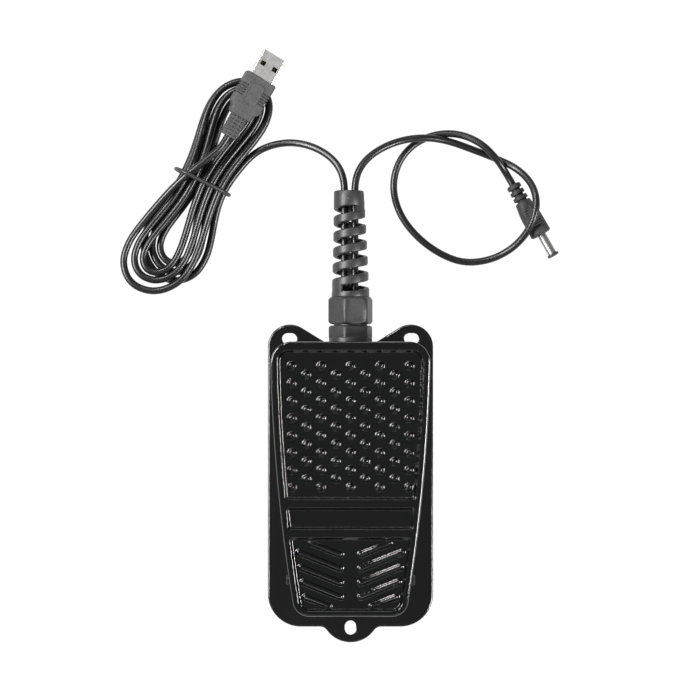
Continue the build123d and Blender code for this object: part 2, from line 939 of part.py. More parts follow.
def switch_screws():
    """Two screws through the case and the bracket, with their nuts."""
    middle = (case_heel + case_toe) / 2
    shank_end = case_width / 2 + bracket_sheet
    screws = []
    for offset_y in (-case_holes / 2, case_holes / 2):
        y, z = middle + offset_y, case_base + case_hole_rise
        end = shank_end + switch_nut_height + switch_screw_stub
        shank = cross_rod(case_hole_radius, -case_width / 2, end, y, z)
        head = cross_rod(switch_screw_head, -case_width / 2 - switch_screw_rise, -case_width / 2, y, z)
        nut_face = Plane(origin=(shank_end, y, z), x_dir=(0, 1, 0), z_dir=(1, 0, 0))
        hexagon = RegularPolygon(switch_nut_flats / 2, 6, major_radius=False)
        nut = extrude(nut_face * hexagon, switch_nut_height)
        screws.append(shank + chamfer(head.edges().group_by(Axis.X)[0], switch_screw_bevel) + nut)
    return Compound(children=screws)


def actuator_boss():
    """Weld nut under the tread that carries the adjusting screw."""
    low = panel_underside(actuator_y) - boss_drop
    block = upright(Pos(0, actuator_y) * Circle(boss_radius), low, tread_toe_height)
    block &= slope_wedge(panel_depth + tread_sheet, lambda y: 0)
    return block - upright(Pos(0, actuator_y) * Circle(actuator_radius), 0, tread_toe_height)


def actuator_screw():
    """Adjusting screw that presses the lever."""
    low = lever_tip_z + actuator_gap + lever_sheet
    top = panel_underside(actuator_y) - actuator_top_gap
    screw = upright(Pos(0, actuator_y) * Circle(actuator_radius), low, top)
    return chamfer(screw.edges().group_by(Axis.Z)[0], actuator_bevel)


def actuator_locknut():
    """Nut that locks the adjusting screw."""
    high = panel_underside(actuator_y) - boss_drop
    hexagon = RegularPolygon(locknut_flats / 2, 6, major_radius=False)
    nut = upright(Pos(0, actuator_y) * hexagon, high - locknut_height, high)
    return nut - upright(Pos(0, actuator_y) * Circle(actuator_radius), 0, high)


# Cable gland


def gland_washer():
    """Rubber washer between the chassis wall and the gland."""
    washer = rod(gland_flange_radius, wall_face, flange_start)
    return washer - rod(gland_thread_radius, wall_face, flange_start)


def gland_body():
    """Flanged hexagon body with a thread through the wall and a neck for the nut."""
    flange = rod(gland_flange_radius, flange_start, hex_start)
    flange = chamfer(flange.edges().group_by(Axis.Y)[-1], gland_flange_bevel)
    body = flange + hex_bar(gland_hex_flats, hex_start, neck_start)
    body += rod(gland_thread_radius, wall_face - gland_thread_length, flange_start)
    body += rod(gland_neck_radius, neck_start, neck_start + gland_neck_length)
    return body - rod(gland_bore, wall_face - gland_thread_length - 1, neck_start + gland_neck_length + 1)


def gland_locknut():
    """Hexagon ring nut inside the wall."""
    end = wall_face - chassis_sheet
    ring = hex_bar(locknut_ring_flats, end - locknut_ring_length, end, turn=30)
    return ring - rod(gland_thread_radius, end - locknut_ring_length, end)


def gland_seal():
    """Rubber bung that grips the two cords inside the nut."""
    start = neck_start + gland_neck_length + seal_gap
    bung = rod(seal_radius, start, start + seal_length)
    for x in (usb_exit_x, dc_exit_x):
        bung -= rod(cord_diameter / 2, start - 1, start + seal_length + 1, x)
    return bung


def tail_radius(y):
    """Outer radius of the tail, which tapers to its tip."""
    share = (y - tail_start) / tail_length
    return tail_base_radius + (tail_tip_radius - tail_base_radius) * share


def spiral_tail():
    """One helical band on a taper, from the nut to a closed collar at the tip."""
    first = tail_start + tail_foot - tail_band / 2
    last = tail_end - tail_collar + tail_band / 2

    def outward(turn):
        angle = -2 * pi * turn
        return Vector(sin(angle), 0, cos(angle))

    def place(turn):
        y = first + turn * tail_pitch
        return Vector(0, y, gland_z) + outward(turn) * (tail_radius(y) - tail_wall / 2)

    band = Rectangle(tail_wall, tail_band)
    return winding(place, outward, (last - first) / tail_pitch, winding_steps, band)


def tail_ring(start, end):
    """A closed stretch of the tail."""
    face_radius, end_radius = tail_radius(start), tail_radius(end)
    outline = [
        (face_radius, start), (end_radius, end),
        (end_radius - tail_wall, end), (face_radius - tail_wall, start),
    ]
    face = make_face(Polyline(*[(radius, y, 0) for radius, y in outline], close=True))
    return Pos(0, 0, gland_z) * revolve(face, Axis.Y)


def gland_nut():
    """Chamfered clamping nut and its spiral tail, one moulding."""
    nut = hex_bar(nut_flats, nut_start, tail_start, turn=nut_turn)
    turning = rod(nut_corner_radius, nut_start, tail_start)
    turning = chamfer(turning.edges().group_by(Axis.Y)[-1] + turning.edges().group_by(Axis.Y)[0], nut_chamfer)
    nut = nut & turning
    seat_end = neck_start + gland_neck_length + nut_seat_gap
    nut -= rod(gland_neck_radius + running_clearance, nut_start, seat_end)
    nut -= rod(seal_radius, nut_start, tail_start - nut_mouth)
    nut -= rod(nut_mouth_radius, nut_start, tail_start)
    nut += tail_ring(tail_start, tail_start + tail_foot)
    nut += tail_ring(tail_end - tail_collar, tail_end)
    return nut + spiral_tail()


# Cords inside the housing


def inner_lead(exit_x, side, name):
    """Cord jacket from the tail's tip through the gland to the clamp."""
    points = [
        (exit_x, tail_end, gland_z), (exit_x, 56.0, gland_z), (side * 3.2, 47.0, 11.2),
        (side * 3.0, 39.5, lead_z), (side * 3.0, 27.0, lead_z),
    ]
    return cord_tube(points, cord_diameter, name, lead_sides)


def cable_clamp():
    """Saddle clamp that holds both cords to the chassis floor."""
    radius = cord_diameter / 2
    low, high = floor_top, lead_z + radius + clamp_sheet
    half = clamp_spread + radius + clamp_sheet
    block = Pos(0, clamp_y, (low + high) / 2) * Box(2 * half, clamp_width, high - low)
    feet = Box(2 * (half + clamp_ear), clamp_width, clamp_sheet)
    clamp = fillet(block.edges().filter_by(Axis.Y).group_by(Axis.Z)[-1], clamp_round)
    clamp += Pos(0, clamp_y, floor_top + clamp_sheet / 2) * feet
    arch = Rectangle(2 * (half - clamp_sheet), clamp_width)
    clamp -= upright(Pos(0, clamp_y) * arch, floor_top, lead_z + radius)
    for side in (-1, 1):
        hole = Pos(side * (half + clamp_ear / 2), clamp_y) * Circle(clamp_screw_radius)
        clamp -= upright(hole, floor_top, floor_top + clamp_sheet)
    return clamp


def clamp_screws():
    """Two screws of the saddle clamp."""
    half = clamp_spread + cord_diameter / 2 + clamp_sheet
    foot_top = floor_top + clamp_sheet
    screws = []
    for side in (-1, 1):
        place = Pos(side * (half + clamp_ear / 2), clamp_y)
        head = upright(place * Circle(clamp_screw_head), foot_top, foot_top + clamp_screw_rise)
        head = chamfer(head.edges().group_by(Axis.Z)[-1], clamp_screw_bevel)
        shank = upright(place * Circle(clamp_screw_radius), floor_top, foot_top)
        screws.append(head + shank)
    return Compound(children=screws)


def switch_wires():
    """Two conductors from the clamped cords to the solder tabs nearest the toe."""
    middle = (case_heel + case_toe) / 2
    solder_z = case_base - terminal_length / 2
    face = middle + terminal_sheet / 2 + solder_gap
    near, far = face + terminal_pitch, face
    routes = [
        [
            (-3.0, 27.0, lead_z), (-3.2, 17.0, lead_z), (-3.0, 6.0, lead_z - 0.2),
            (-2.4, -4.0, solder_z), (-1.0, near + 7.0, solder_z), (-0.7, near, solder_z),
        ],
        [
            (3.0, 27.0, lead_z), (3.3, 16.0, lead_z), (3.0, 5.0, lead_z - 0.2),
            (2.7, -6.0, solder_z + 0.1), (2.6, near - 1.0, solder_z), (1.0, far, solder_z),
        ],
    ]
    tubes = [cord_tube(route, wire_diameter, "switch wire", lead_sides) for route in routes]
    return Compound(children=tubes)


# Hank of the long cord


def hank_place(turn):
    """Centre line of the hank: a spiral in and out of two layers, drawn in at the tie."""
    angle = 2 * pi * turn
    lower = turn < hank_turnback
    bottom = hank_bottom_lower if lower else hank_bottom_upper

    def base(value):
        reach = hank_top if sin(value) < 0 else bottom
        return -reach * sin(value), hank_lobe * cos(value) * sin(value) ** 2

    along, aside = base(angle)
    ahead, behind = base(angle + heading_step), base(angle - heading_step)
    run, drift = ahead[0] - behind[0], ahead[1] - behind[1]
    size = hypot(run, drift)
    out = hank_pitch * abs(turn - hank_turnback)
    along += out * drift / size
    aside -= out * run / size
    if along > 0:
        lean = hank_top_lean
    else:
        lean = hank_lower_lean if lower else hank_upper_lean
    aside += lean * (along / 50) ** 2
    climb = min(max(2 * (turn - hank_turnback) + 0.5, 0), 1)
    climb = climb * climb * (3 - 2 * climb)
    lift = hank_lift * cos(pi / 2 * min(abs(along) / hank_lift_reach, 1)) ** 2
    height = cord_diameter / 2 + hank_floor_gap + hank_layer * climb + lift
    return hank_point(along, aside, height)


def hank_point(along, aside, height):
    """A place given along and across the hank's axis."""
    axis = radians(hank_axis)
    return Vector(
        hank_centre[0] + along * cos(axis) + aside * sin(axis),
        hank_centre[1] + along * sin(axis) - aside * cos(axis),
        height,
    )


def hank_path():
    """The hank's arcs, with a straight stub at each end."""
    turns = hank_end - hank_start
    edges = arc_path(hank_place, steps(hank_start, hank_end, round(hank_steps * turns)))
    enter, leave = edges[0] % 0, edges[-1] % 1
    start, end = edges[0] @ 0, edges[-1] @ 1
    stub = cord_diameter
    edges = [Edge.make_line(start - enter * stub, start)] + edges + [Edge.make_line(end, end + leave * stub)]
    return Wire(edges)


def least_gap(path, count=900, skip=12.0):
    """Least distance between stretches of a path, less the cord's diameter."""
    spots = [path @ (index / count) for index in range(count + 1)]
    step = path.length / count
    apart = int(skip / step)
    least = 1e9
    for index, spot in enumerate(spots):
        for other in spots[index + apart:]:
            least = min(least, (spot.X - other.X) ** 2 + (spot.Y - other.Y) ** 2 + (spot.Z - other.Z) ** 2)
    return sqrt(least) - cord_diameter


hank_line = hank_path()


def usb_hank():
    """The tied loops as one faceted tube."""
    profile = Rot(0, 0, 180 / cord_sides) * RegularPolygon(cord_diameter / 2, cord_sides)
    face = Plane(origin=hank_line @ 0, x_dir=across_run(hank_line % 0), z_dir=hank_line % 0) * profile
    tube = sweep(face, path=hank_line)
    print("hank length", round(hank_line.length, 1), "volume share",
          round(tube.volume / (face.area * hank_line.length), 4), "least gap", round(least_gap(hank_line), 2))
    return tube


def hank_tie():
    """Thin round tie around the waist of the hank."""
    half = tie_diameter / 2
    reach = cord_diameter / 2 + tie_gap + half
    level = cord_diameter / 2 + hank_floor_gap + hank_lift
    low = level - reach
    top = level + hank_layer + reach
    high = tie_strand_z + reach
    right = hank_pitch * (hank_turnback - hank_start) + reach - 0.2
    left = -hank_pitch * (hank_turnback - 0.5) - reach - 1.0
    outline = [
        (left, low), (right, low), (right, level + 2.4), (right - 3.2, top),
        (-3.0, high), (-9.8, high), (left, level + 5.6),
    ]
    points = [hank_point(0, aside, height) for aside, height in outline]
    path = FilletPolyline(*points, radius=tie_corner, close=True)
    face = Plane(origin=path @ 0, z_dir=path % 0) * RegularPolygon(half, lead_sides)
    return sweep(face, path=path)


# Routes of the free cords: points chosen by hand from the exits to the hank and the plugs

usb_direction = Vector(cos(radians(usb_heading)), sin(radians(usb_heading)), 0)
dc_direction = Vector(
    cos(radians(dc_heading)) * cos(radians(dc_rise)),
    sin(radians(dc_heading)) * cos(radians(dc_rise)),
    sin(radians(dc_rise)),
)
hank_enter = hank_line @ 0
hank_enter_run = hank_line % 0
hank_leave = hank_line @ 1
hank_leave_run = hank_line % 1

usb_route = [
    (usb_exit_x, tail_end, gland_z), (usb_exit_x, 146.6, gland_z), (-7.4, 155.4, 12.4),
    (-16.4, 161.9, 8.2), (-27.2, 165.0, 4.4), (-38.2, 163.9, 2.2), (-47.4, 159.4, 2.0),
]

usb_end_route = [
    hank_point(-13.5, -12.2, 8.9), hank_point(-4.0, -8.6, 12.0),
    hank_point(5.5, -3.9, 13.6), hank_point(14.3, 0.3, 14.0),
]

dc_route = [
    (dc_exit_x, tail_end, gland_z), (dc_exit_x, 146.6, gland_z), (6.6, 155.2, 13.2),
    (15.0, 161.7, 10.0), (25.4, 165.8, 7.6), (36.6, 167.0, 6.6), (47.6, 165.6, 3.0),
    (59.2, 161.5, 1.8), (70.4, 157.2, 1.9), (80.2, 152.4, 4.4), (86.9, 145.0, 9.8),
    (89.3, 136.2, 13.9), (87.9, 127.4, 14.0), (83.6, 119.0, 9.8), (76.2, 112.0, 4.6),
    (66.2, 107.6, 1.9), (54.4, 106.6, 1.8), (43.0, 111.0, 1.9), (32.2, 119.0, 1.8),
    (23.9, 129.6, 1.9), (20.2, 142.2, 1.8), (22.4, 154.4, 1.9), (29.6, 163.8, 1.8),
    (40.4, 169.0, 2.0), (52.2, 169.2, 3.9), (62.8, 164.4, 6.9), (70.6, 156.4, 7.0),
]


def join_face(start, run, distance):
    """A point straight out from an end, so that the next run leaves it squarely."""
    spot = start + run * distance
    return spot.X, spot.Y, spot.Z


def usb_cord():
    """Long cord from the gland to the hank."""
    end = (hank_enter.X, hank_enter.Y, hank_enter.Z)
    points = usb_route + [join_face(hank_enter, hank_enter_run, -5.5), end]
    return cord_tube(points, cord_diameter, "usb cord")


def usb_cord_end():
    """Last stretch of the long cord, over the bundle and under the tie to the plug."""
    start = (hank_leave.X, hank_leave.Y, hank_leave.Z)
    tail = Vector(*usb_tail)
    return cord_tube(
        [start, join_face(hank_leave, hank_leave_run, 6.0)] + usb_end_route
        + [join_face(tail, usb_direction, -6.0), usb_tail],
        cord_diameter, "usb cord end",
    )


def dc_cord():
    """Short cord that loops round to the barrel plug."""
    tail = Vector(*dc_tail)
    return cord_tube(dc_route + [join_face(tail, dc_direction, -6.5), dc_tail], cord_diameter, "dc cord")


# USB plug, modelled along X from its strain relief and then laid on the hank

usb_frame = Plane(origin=usb_tail, x_dir=usb_direction, z_dir=(0, 0, 1)).location * Rot(usb_roll, 0, 0)


def usb_strain_relief():
    """Segmented sleeve behind the plug body, ribs joined by a core and two flat webs."""
    rib = relief_length / (2 * relief_ribs - 0.5)
    core = Pos(relief_length / 2, 0, 0) * Box(relief_length, relief_core_width, relief_core_thickness)
    sleeve = chamfer(core.edges().filter_by(Axis.X), relief_bevel)
    for index in range(relief_ribs):
        start = index * 2 * rib
        width = relief_width - 0.5 + 0.5 * index / (relief_ribs - 1)
        ring = Pos(start + rib / 2, 0, 0) * Box(rib, width, relief_thickness)
        sleeve += chamfer(ring.edges().filter_by(Axis.X), relief_bevel)
    for y in (-relief_web_y, relief_web_y):
        sleeve += Pos(relief_length / 2, y, 0) * Box(relief_length, relief_web_width, relief_web_thickness)
    return sleeve


def usb_plug_body():
    """Overmoulded grip: a narrow rear that widens, with side grooves and a framed flat."""
    start, end = relief_length, relief_length + grip_length
    half, rear = grip_width / 2, grip_rear_width / 2
    shoulder, wide = start + grip_shoulder_start, start + grip_shoulder_end
    narrow = half - grip_shoulder_inset
    outline = [
        (start, -rear), (shoulder, -rear), (wide, -narrow), (end, -half),
        (end, half), (wide, narrow), (shoulder, rear), (start, rear),
    ]
    body = extrude(make_face(Polyline(*outline, close=True)), grip_thickness / 2, both=True)
    body = chamfer(body.edges().group_by(Axis.X)[-1], grip_front_bevel)
    groove = Box(grip_groove_width, grip_groove_reach, 2 * grip_groove_depth)
    side_groove = Box(grip_groove_width, 2 * grip_groove_depth, grip_thickness)
    for index in range(grip_grooves):
        x = end - grip_groove_inset - index * grip_groove_pitch
        for side in (-1, 1):
            for face in (-1, 1):
                body -= Pos(x, side * (half - grip_groove_reach / 2), face * grip_thickness / 2) * groove
            body -= Pos(x, side * half, 0) * side_groove
    pad = Box(grip_pad_length, grip_pad_width, grip_thickness + 2 * grip_pad_rise)
    body += Pos(end - grip_pad_inset, 0, 0) * fillet(pad.edges().filter_by(Axis.Z), grip_pad_corner)
    pocket = Pos(end - grip_pocket / 2, 0, 0) * Box(grip_pocket, usb_shell_width, usb_shell_thickness)
    return body - pocket


def usb_plug_shell():
    """Folded steel shell with two latch windows on each flat."""
    start = relief_length + grip_length - grip_pocket
    length = usb_shell_length + grip_pocket
    middle = start + length / 2
    outer = Pos(middle, 0, 0) * Box(length, usb_shell_width, usb_shell_thickness)
    outer = fillet(outer.edges().filter_by(Axis.X), usb_shell_corner)
    sheet = 2 * usb_shell_sheet
    inner = Pos(middle, 0, 0) * Box(length, usb_shell_width - sheet, usb_shell_thickness - sheet)
    shell = outer - inner
    window = Box(usb_window_length, usb_window_width, 2 * usb_shell_thickness)
    for side in (-1, 1):
        shell -= Pos(start + length - usb_window_x, side * usb_window_y, 0) * window
    return shell


def contact_places():
    """Middles of the four contacts on the tongue's face, and that face's height."""
    end = relief_length + grip_length + usb_shell_length - usb_tongue_recess
    face = usb_shell_sheet - usb_shell_thickness / 2 + usb_tongue_thickness
    return [(end - usb_contact_inset, (index - 1.5) * usb_contact_pitch) for index in range(4)], face


def usb_plug_tongue():
    """Insulator inside the shell, with its back filled and four contacts on the tongue."""
    start = relief_length + grip_length - grip_pocket
    wide = usb_shell_width - 2 * usb_shell_sheet
    tall = usb_shell_thickness - 2 * usb_shell_sheet
    places, face = contact_places()
    length = places[0][0] + usb_contact_inset - start
    back = Pos(start + usb_back_length / 2, 0, 0) * Box(usb_back_length, wide, tall)
    tongue = Pos(start + length / 2, 0, face - usb_tongue_thickness / 2)
    tongue *= Box(length, wide, usb_tongue_thickness)
    for x, y in places:
        tongue -= Pos(x, y, face) * Box(usb_contact_length, usb_contact_width, 2 * usb_contact_sheet)
    return back + tongue


def usb_plug_contacts():
    """Four gold contacts laid in the tongue."""
    places, face = contact_places()
    strip = Box(usb_contact_length, usb_contact_width, usb_contact_sheet)
    return Compound(children=[Pos(x, y, face - usb_contact_sheet / 2) * strip for x, y in places])


# Barrel plug, modelled along X from its tail

dc_side = across_run(dc_direction)
dc_frame = Plane(origin=dc_tail, x_dir=dc_direction, z_dir=dc_direction.cross(dc_side)).location


def turned(outline):
    """A body of revolution about X from (x, radius) points."""
    face = make_face(Polyline(*outline, close=True))
    return revolve(face, Axis.X)


def dc_plug_body():
    """Tapered grip with three relief ribs at the tail and flats with fine ridges."""
    length, front, waist = dc_body_length, dc_body_radius, dc_waist_radius
    outline = [(0, 0), (0, dc_tail_radius)]
    for rib in range(3):
        start = dc_groove_start + rib * dc_rib_pitch
        end = start + dc_groove_width
        radius = dc_tail_radius + rib * dc_rib_growth
        outline += [(start, radius), (start, waist), (end, waist), (end, radius + dc_rib_growth)]
    outline += [(length - dc_front_length, front - dc_rib_growth), (length - dc_front_bevel, front)]
    outline += [(length, front - dc_front_bevel), (length, 0)]
    pocket = Pos(length - dc_pocket / 2, 0, 0) * Rot(0, 90, 0) * Cylinder(dc_barrel_radius, dc_pocket)
    return turned(outline) - pocket


def dc_plug_barrel():
    """Plated sleeve that enters the socket."""
    start = dc_body_length - dc_pocket
    end = dc_body_length + dc_barrel_length
    return turned([(start, dc_bore), (end, dc_bore), (end, dc_barrel_radius), (start, dc_barrel_radius)])


def dc_plug_tip():
    """Black insulating lip at the barrel's mouth."""
    start = dc_body_length + dc_barrel_length
    end = start + dc_tip_length
    edge = dc_tip_radius - dc_tip_bevel
    return turned([
        (start, dc_bore), (start, dc_tip_radius),
        (end - dc_tip_bevel, dc_tip_radius), (end, edge), (end, dc_bore),
    ])


save(base_plate(), "base_plate")
save(underside_pad(), "underside_pad")
save(chassis(), "chassis")
save(chassis_rivets(), "chassis_rivets")
save(pedal_tread(), "pedal_tread")
save(hinge_pin(), "hinge_pin")
save(hinge_bushes(), "hinge_bushes")
save(toe_stops(), "toe_stops")
save(heel_stop(), "heel_stop")
save(spring_seats(), "spring_seats")
save(spring_caps(), "spring_caps")
save(springs(), "return_springs")
save(switch_case(), "switch_case")
save(lever_pin(), "lever_pin")
save(switch_lever(), "switch_lever")
save(switch_plunger(), "switch_plunger")
save(switch_terminals(), "switch_terminals")
save(switch_bracket(), "switch_bracket")
save(switch_screws(), "switch_screws")
save(actuator_boss(), "actuator_boss")
save(actuator_screw(), "actuator_screw")
save(actuator_locknut(), "actuator_locknut")
save(gland_washer(), "gland_washer")
save(gland_body(), "gland_body")
save(gland_locknut(), "gland_locknut")
save(gland_seal(), "gland_seal")
save(gland_nut(), "gland_nut")
save(inner_lead(usb_exit_x, -1, "usb lead"), "usb_inner_lead")
save(inner_lead(dc_exit_x, 1, "dc lead"), "dc_inner_lead")
save(cable_clamp(), "cable_clamp")
save(clamp_screws(), "clamp_screws")
save(switch_wires(), "switch_wires")
save(usb_cord(), "usb_cord")
save(usb_hank(), "usb_hank")
save(usb_cord_end(), "usb_cord_end")
save(hank_tie(), "hank_tie")
save(usb_frame * usb_strain_relief(), "usb_strain_relief")
save(usb_frame * usb_plug_body(), "usb_plug_body")
save(usb_frame * usb_plug_shell(), "usb_plug_shell")
save(usb_frame * usb_plug_tongue(), "usb_plug_tongue")
save(usb_frame * usb_plug_contacts(), "usb_plug_contacts")
save(dc_cord(), "dc_cord")
save(dc_frame * dc_plug_body(), "dc_plug_body")
save(dc_frame * dc_plug_barrel(), "dc_plug_barrel")
save(dc_frame * dc_plug_tip(), "dc_plug_tip")

print("pedal at full travel, toe edge", pressed(tread_toe, tread_toe_height))
print("lever ratio", round(lever_ratio, 4), "plunger ratio m per rad",
      round(plunger_reach * tan(radians(lever_lift)) / radians(pedal_travel) / 1000, 6))
print("lever pivot", lever_y, lever_z, "skirt half width at hinge", round(skirt_outer_x(), 2))
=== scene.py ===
from math import atan2, ceil, cos, degrees, hypot, pi, radians, sin, sqrt, tan

import bmesh
import bpy
from mathutils import Matrix, Vector, geometry


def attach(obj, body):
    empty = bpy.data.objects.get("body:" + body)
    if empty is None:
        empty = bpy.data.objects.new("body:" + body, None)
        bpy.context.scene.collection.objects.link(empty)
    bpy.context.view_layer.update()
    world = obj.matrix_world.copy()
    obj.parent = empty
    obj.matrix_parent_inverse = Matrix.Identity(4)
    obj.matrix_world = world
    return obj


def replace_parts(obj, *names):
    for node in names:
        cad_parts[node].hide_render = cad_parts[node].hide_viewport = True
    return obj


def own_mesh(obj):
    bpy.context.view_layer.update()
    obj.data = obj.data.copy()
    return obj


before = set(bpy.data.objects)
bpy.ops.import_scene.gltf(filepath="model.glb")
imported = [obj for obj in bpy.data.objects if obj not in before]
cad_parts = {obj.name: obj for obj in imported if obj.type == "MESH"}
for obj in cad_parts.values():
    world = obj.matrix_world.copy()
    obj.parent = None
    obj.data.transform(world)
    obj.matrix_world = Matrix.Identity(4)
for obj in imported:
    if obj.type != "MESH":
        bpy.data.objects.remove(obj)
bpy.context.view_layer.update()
mm = 0.001

# Base plate
# A pressed steel plate, 80 mm wide, with two ears at the toe and a tab at the heel, each slotted
# for a screw. Its edge is turned down round the rubber pad, and it has a fine textured black coat.

plate_width = 80 * mm
plate_top = 3.2 * mm
plate_under = 1.7 * mm
rim_bottom = 0.7 * mm
rim_wall = 1.2 * mm
rim_round = 0.9 * mm
rim_chamfer = 0.2 * mm
plate_heel = -69.3 * mm
plate_toe = 66.5 * mm
heel_corner = 16 * mm
ear_radius = 10.8 * mm
ear_y = 66.1 * mm
ear_slope = 31.6
plate_blend = 4 * mm
tab_radius = 14.1 * mm
tab_y = -62.8 * mm
slot_width = 5.3 * mm
screw_slots = [
    (-29.5 * mm, 70.0 * mm, 7.1 * mm, 0),
    (29.5 * mm, 70.0 * mm, 7.1 * mm, 0),
    (0.0, -69.7 * mm, 6.9 * mm, 90),
]
slot_edge = [(0.45 * mm, 0), (0.3 * mm, 0), (0.08 * mm, 0.1 * mm), (0, 0.3 * mm)]
weld_distance = 1e-8


class Reading:
    """A value among nodes, with sums on it worked by Math nodes."""

    def __init__(self, nodes, socket):
        self.nodes = nodes
        self.socket = socket

    def worked(self, operation, first, second):
        return self.nodes.node("ShaderNodeMath", {"operation": operation}, {0: first, 1: second})

    def __add__(self, other):
        return self.worked("ADD", self, other)

    def __radd__(self, other):
        return self.worked("ADD", other, self)

    def __mul__(self, other):
        return self.worked("MULTIPLY", self, other)

    def __rmul__(self, other):
        return self.worked("MULTIPLY", other, self)


class Nodes:
    """A shader and the nodes that vary it, which all come from one method."""

    def __init__(self, owner, shader):
        owner.use_nodes = True
        self.tree = owner.node_tree
        self.shader = self.tree.nodes[shader]

    def node(self, kind, settings=None, sockets=None, output=0):
        """A node of a type, with its settings, then the values or links of its sockets."""
        made = self.tree.nodes.new(kind)
        for name, value in (settings or {}).items():
            if name == "stops":
                for stop, (place, grey) in zip(made.color_ramp.elements, value):
                    stop.position = place
                    stop.color = (grey, grey, grey, 1)
            else:
                setattr(made, name, value)
        for name, value in (sockets or {}).items():
            if isinstance(value, Reading):
                self.tree.links.new(value.socket, made.inputs[name])
            else:
                made.inputs[name].default_value = value
        return Reading(self, made.outputs[output])

    def feed(self, socket, value):
        """Sends a reading to the shader."""
        self.tree.links.new(value.socket, self.shader.inputs[socket])


class Finish(Nodes):
    """A material, with patterns that are fixed to the piece."""

    def __init__(self, name, metallic=0.0, specular=0.5):
        self.material = bpy.data.materials.new(name)
        super().__init__(self.material, "Principled BSDF")
        self.shader.inputs["Metallic"].default_value = metallic
        self.shader.inputs["Specular IOR Level"].default_value = specular
        self.place = self.node("ShaderNodeTexCoord", output="Object")

    def noise(self, size, detail=2.0):
        """Cloudy variation with features of a given size."""
        sockets = {"Vector": self.place, "Scale": 1 / size, "Detail": detail}
        return self.node("ShaderNodeTexNoise", None, sockets)

    def specks(self, size):
        """Distance to the nearest of scattered points."""
        return self.node("ShaderNodeTexVoronoi", None, {"Vector": self.place, "Scale": 1 / size})

    def blend(self, share, first, second):
        """A colour between two, from a Mix node's colour sockets."""
        sockets = {0: share, 6: (*first, 1), 7: (*second, 1)}
        return self.node("ShaderNodeMix", {"data_type": "RGBA"}, sockets, 2)

    def relief(self, height, depth):
        """Fine relief of a given depth."""
        bump = {"Height": height, "Distance": depth, "Strength": 1.0}
        self.feed("Normal", self.node("ShaderNodeBump", None, bump))


def dress(finish, *nodes):
    """Gives carried-over nodes their finish."""
    for name in nodes:
        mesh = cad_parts[name].data
        mesh.materials.clear()
        mesh.materials.append(finish.material)


def placed(name, data):
    """Puts a mesh, curve, light or camera in the scene."""
    made = bpy.data.objects.new(name, data)
    bpy.context.scene.collection.objects.link(made)
    return made


def fitted(name, data, finish, body="base"):
    """Puts a piece in the scene with its finish, riding on a body."""
    data.materials.append(finish.material)
    made = placed(name, data)
    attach(made, body)
    return made


def arc(centre, radius, start, end, step=5.0):
    """Points on an arc between two angles in degrees."""
    count = max(2, ceil(abs(end - start) / step))
    turns = [radians(start + (end - start) * i / count) for i in range(count + 1)]
    return [(centre[0] + radius * cos(turn), centre[1] + radius * sin(turn)) for turn in turns]


def grown(loop, distance):
    """A counter-clockwise loop moved outwards by a distance."""
    moved = []
    for i, spot in enumerate(loop):
        here = Vector(spot)
        before = (here - Vector(loop[i - 1])).normalized()
        after = (Vector(loop[(i + 1) % len(loop)]) - here).normalized()
        first, second = Vector((before.y, -before.x)), Vector((after.y, -after.x))
        moved.append(here + (first + second) * (distance / (1 + first.dot(second))))
    return [(spot.x, spot.y) for spot in moved]


def within(spot, loop):
    """Whether a place lies inside a loop."""
    hit = False
    for (x1, y1), (x2, y2) in zip(loop, loop[1:] + loop[:1]):
        if (y1 > spot[1]) != (y2 > spot[1]) and spot[0] < x1 + (x2 - x1) * (spot[1] - y1) / (y2 - y1):
            hit = not hit
    return hit


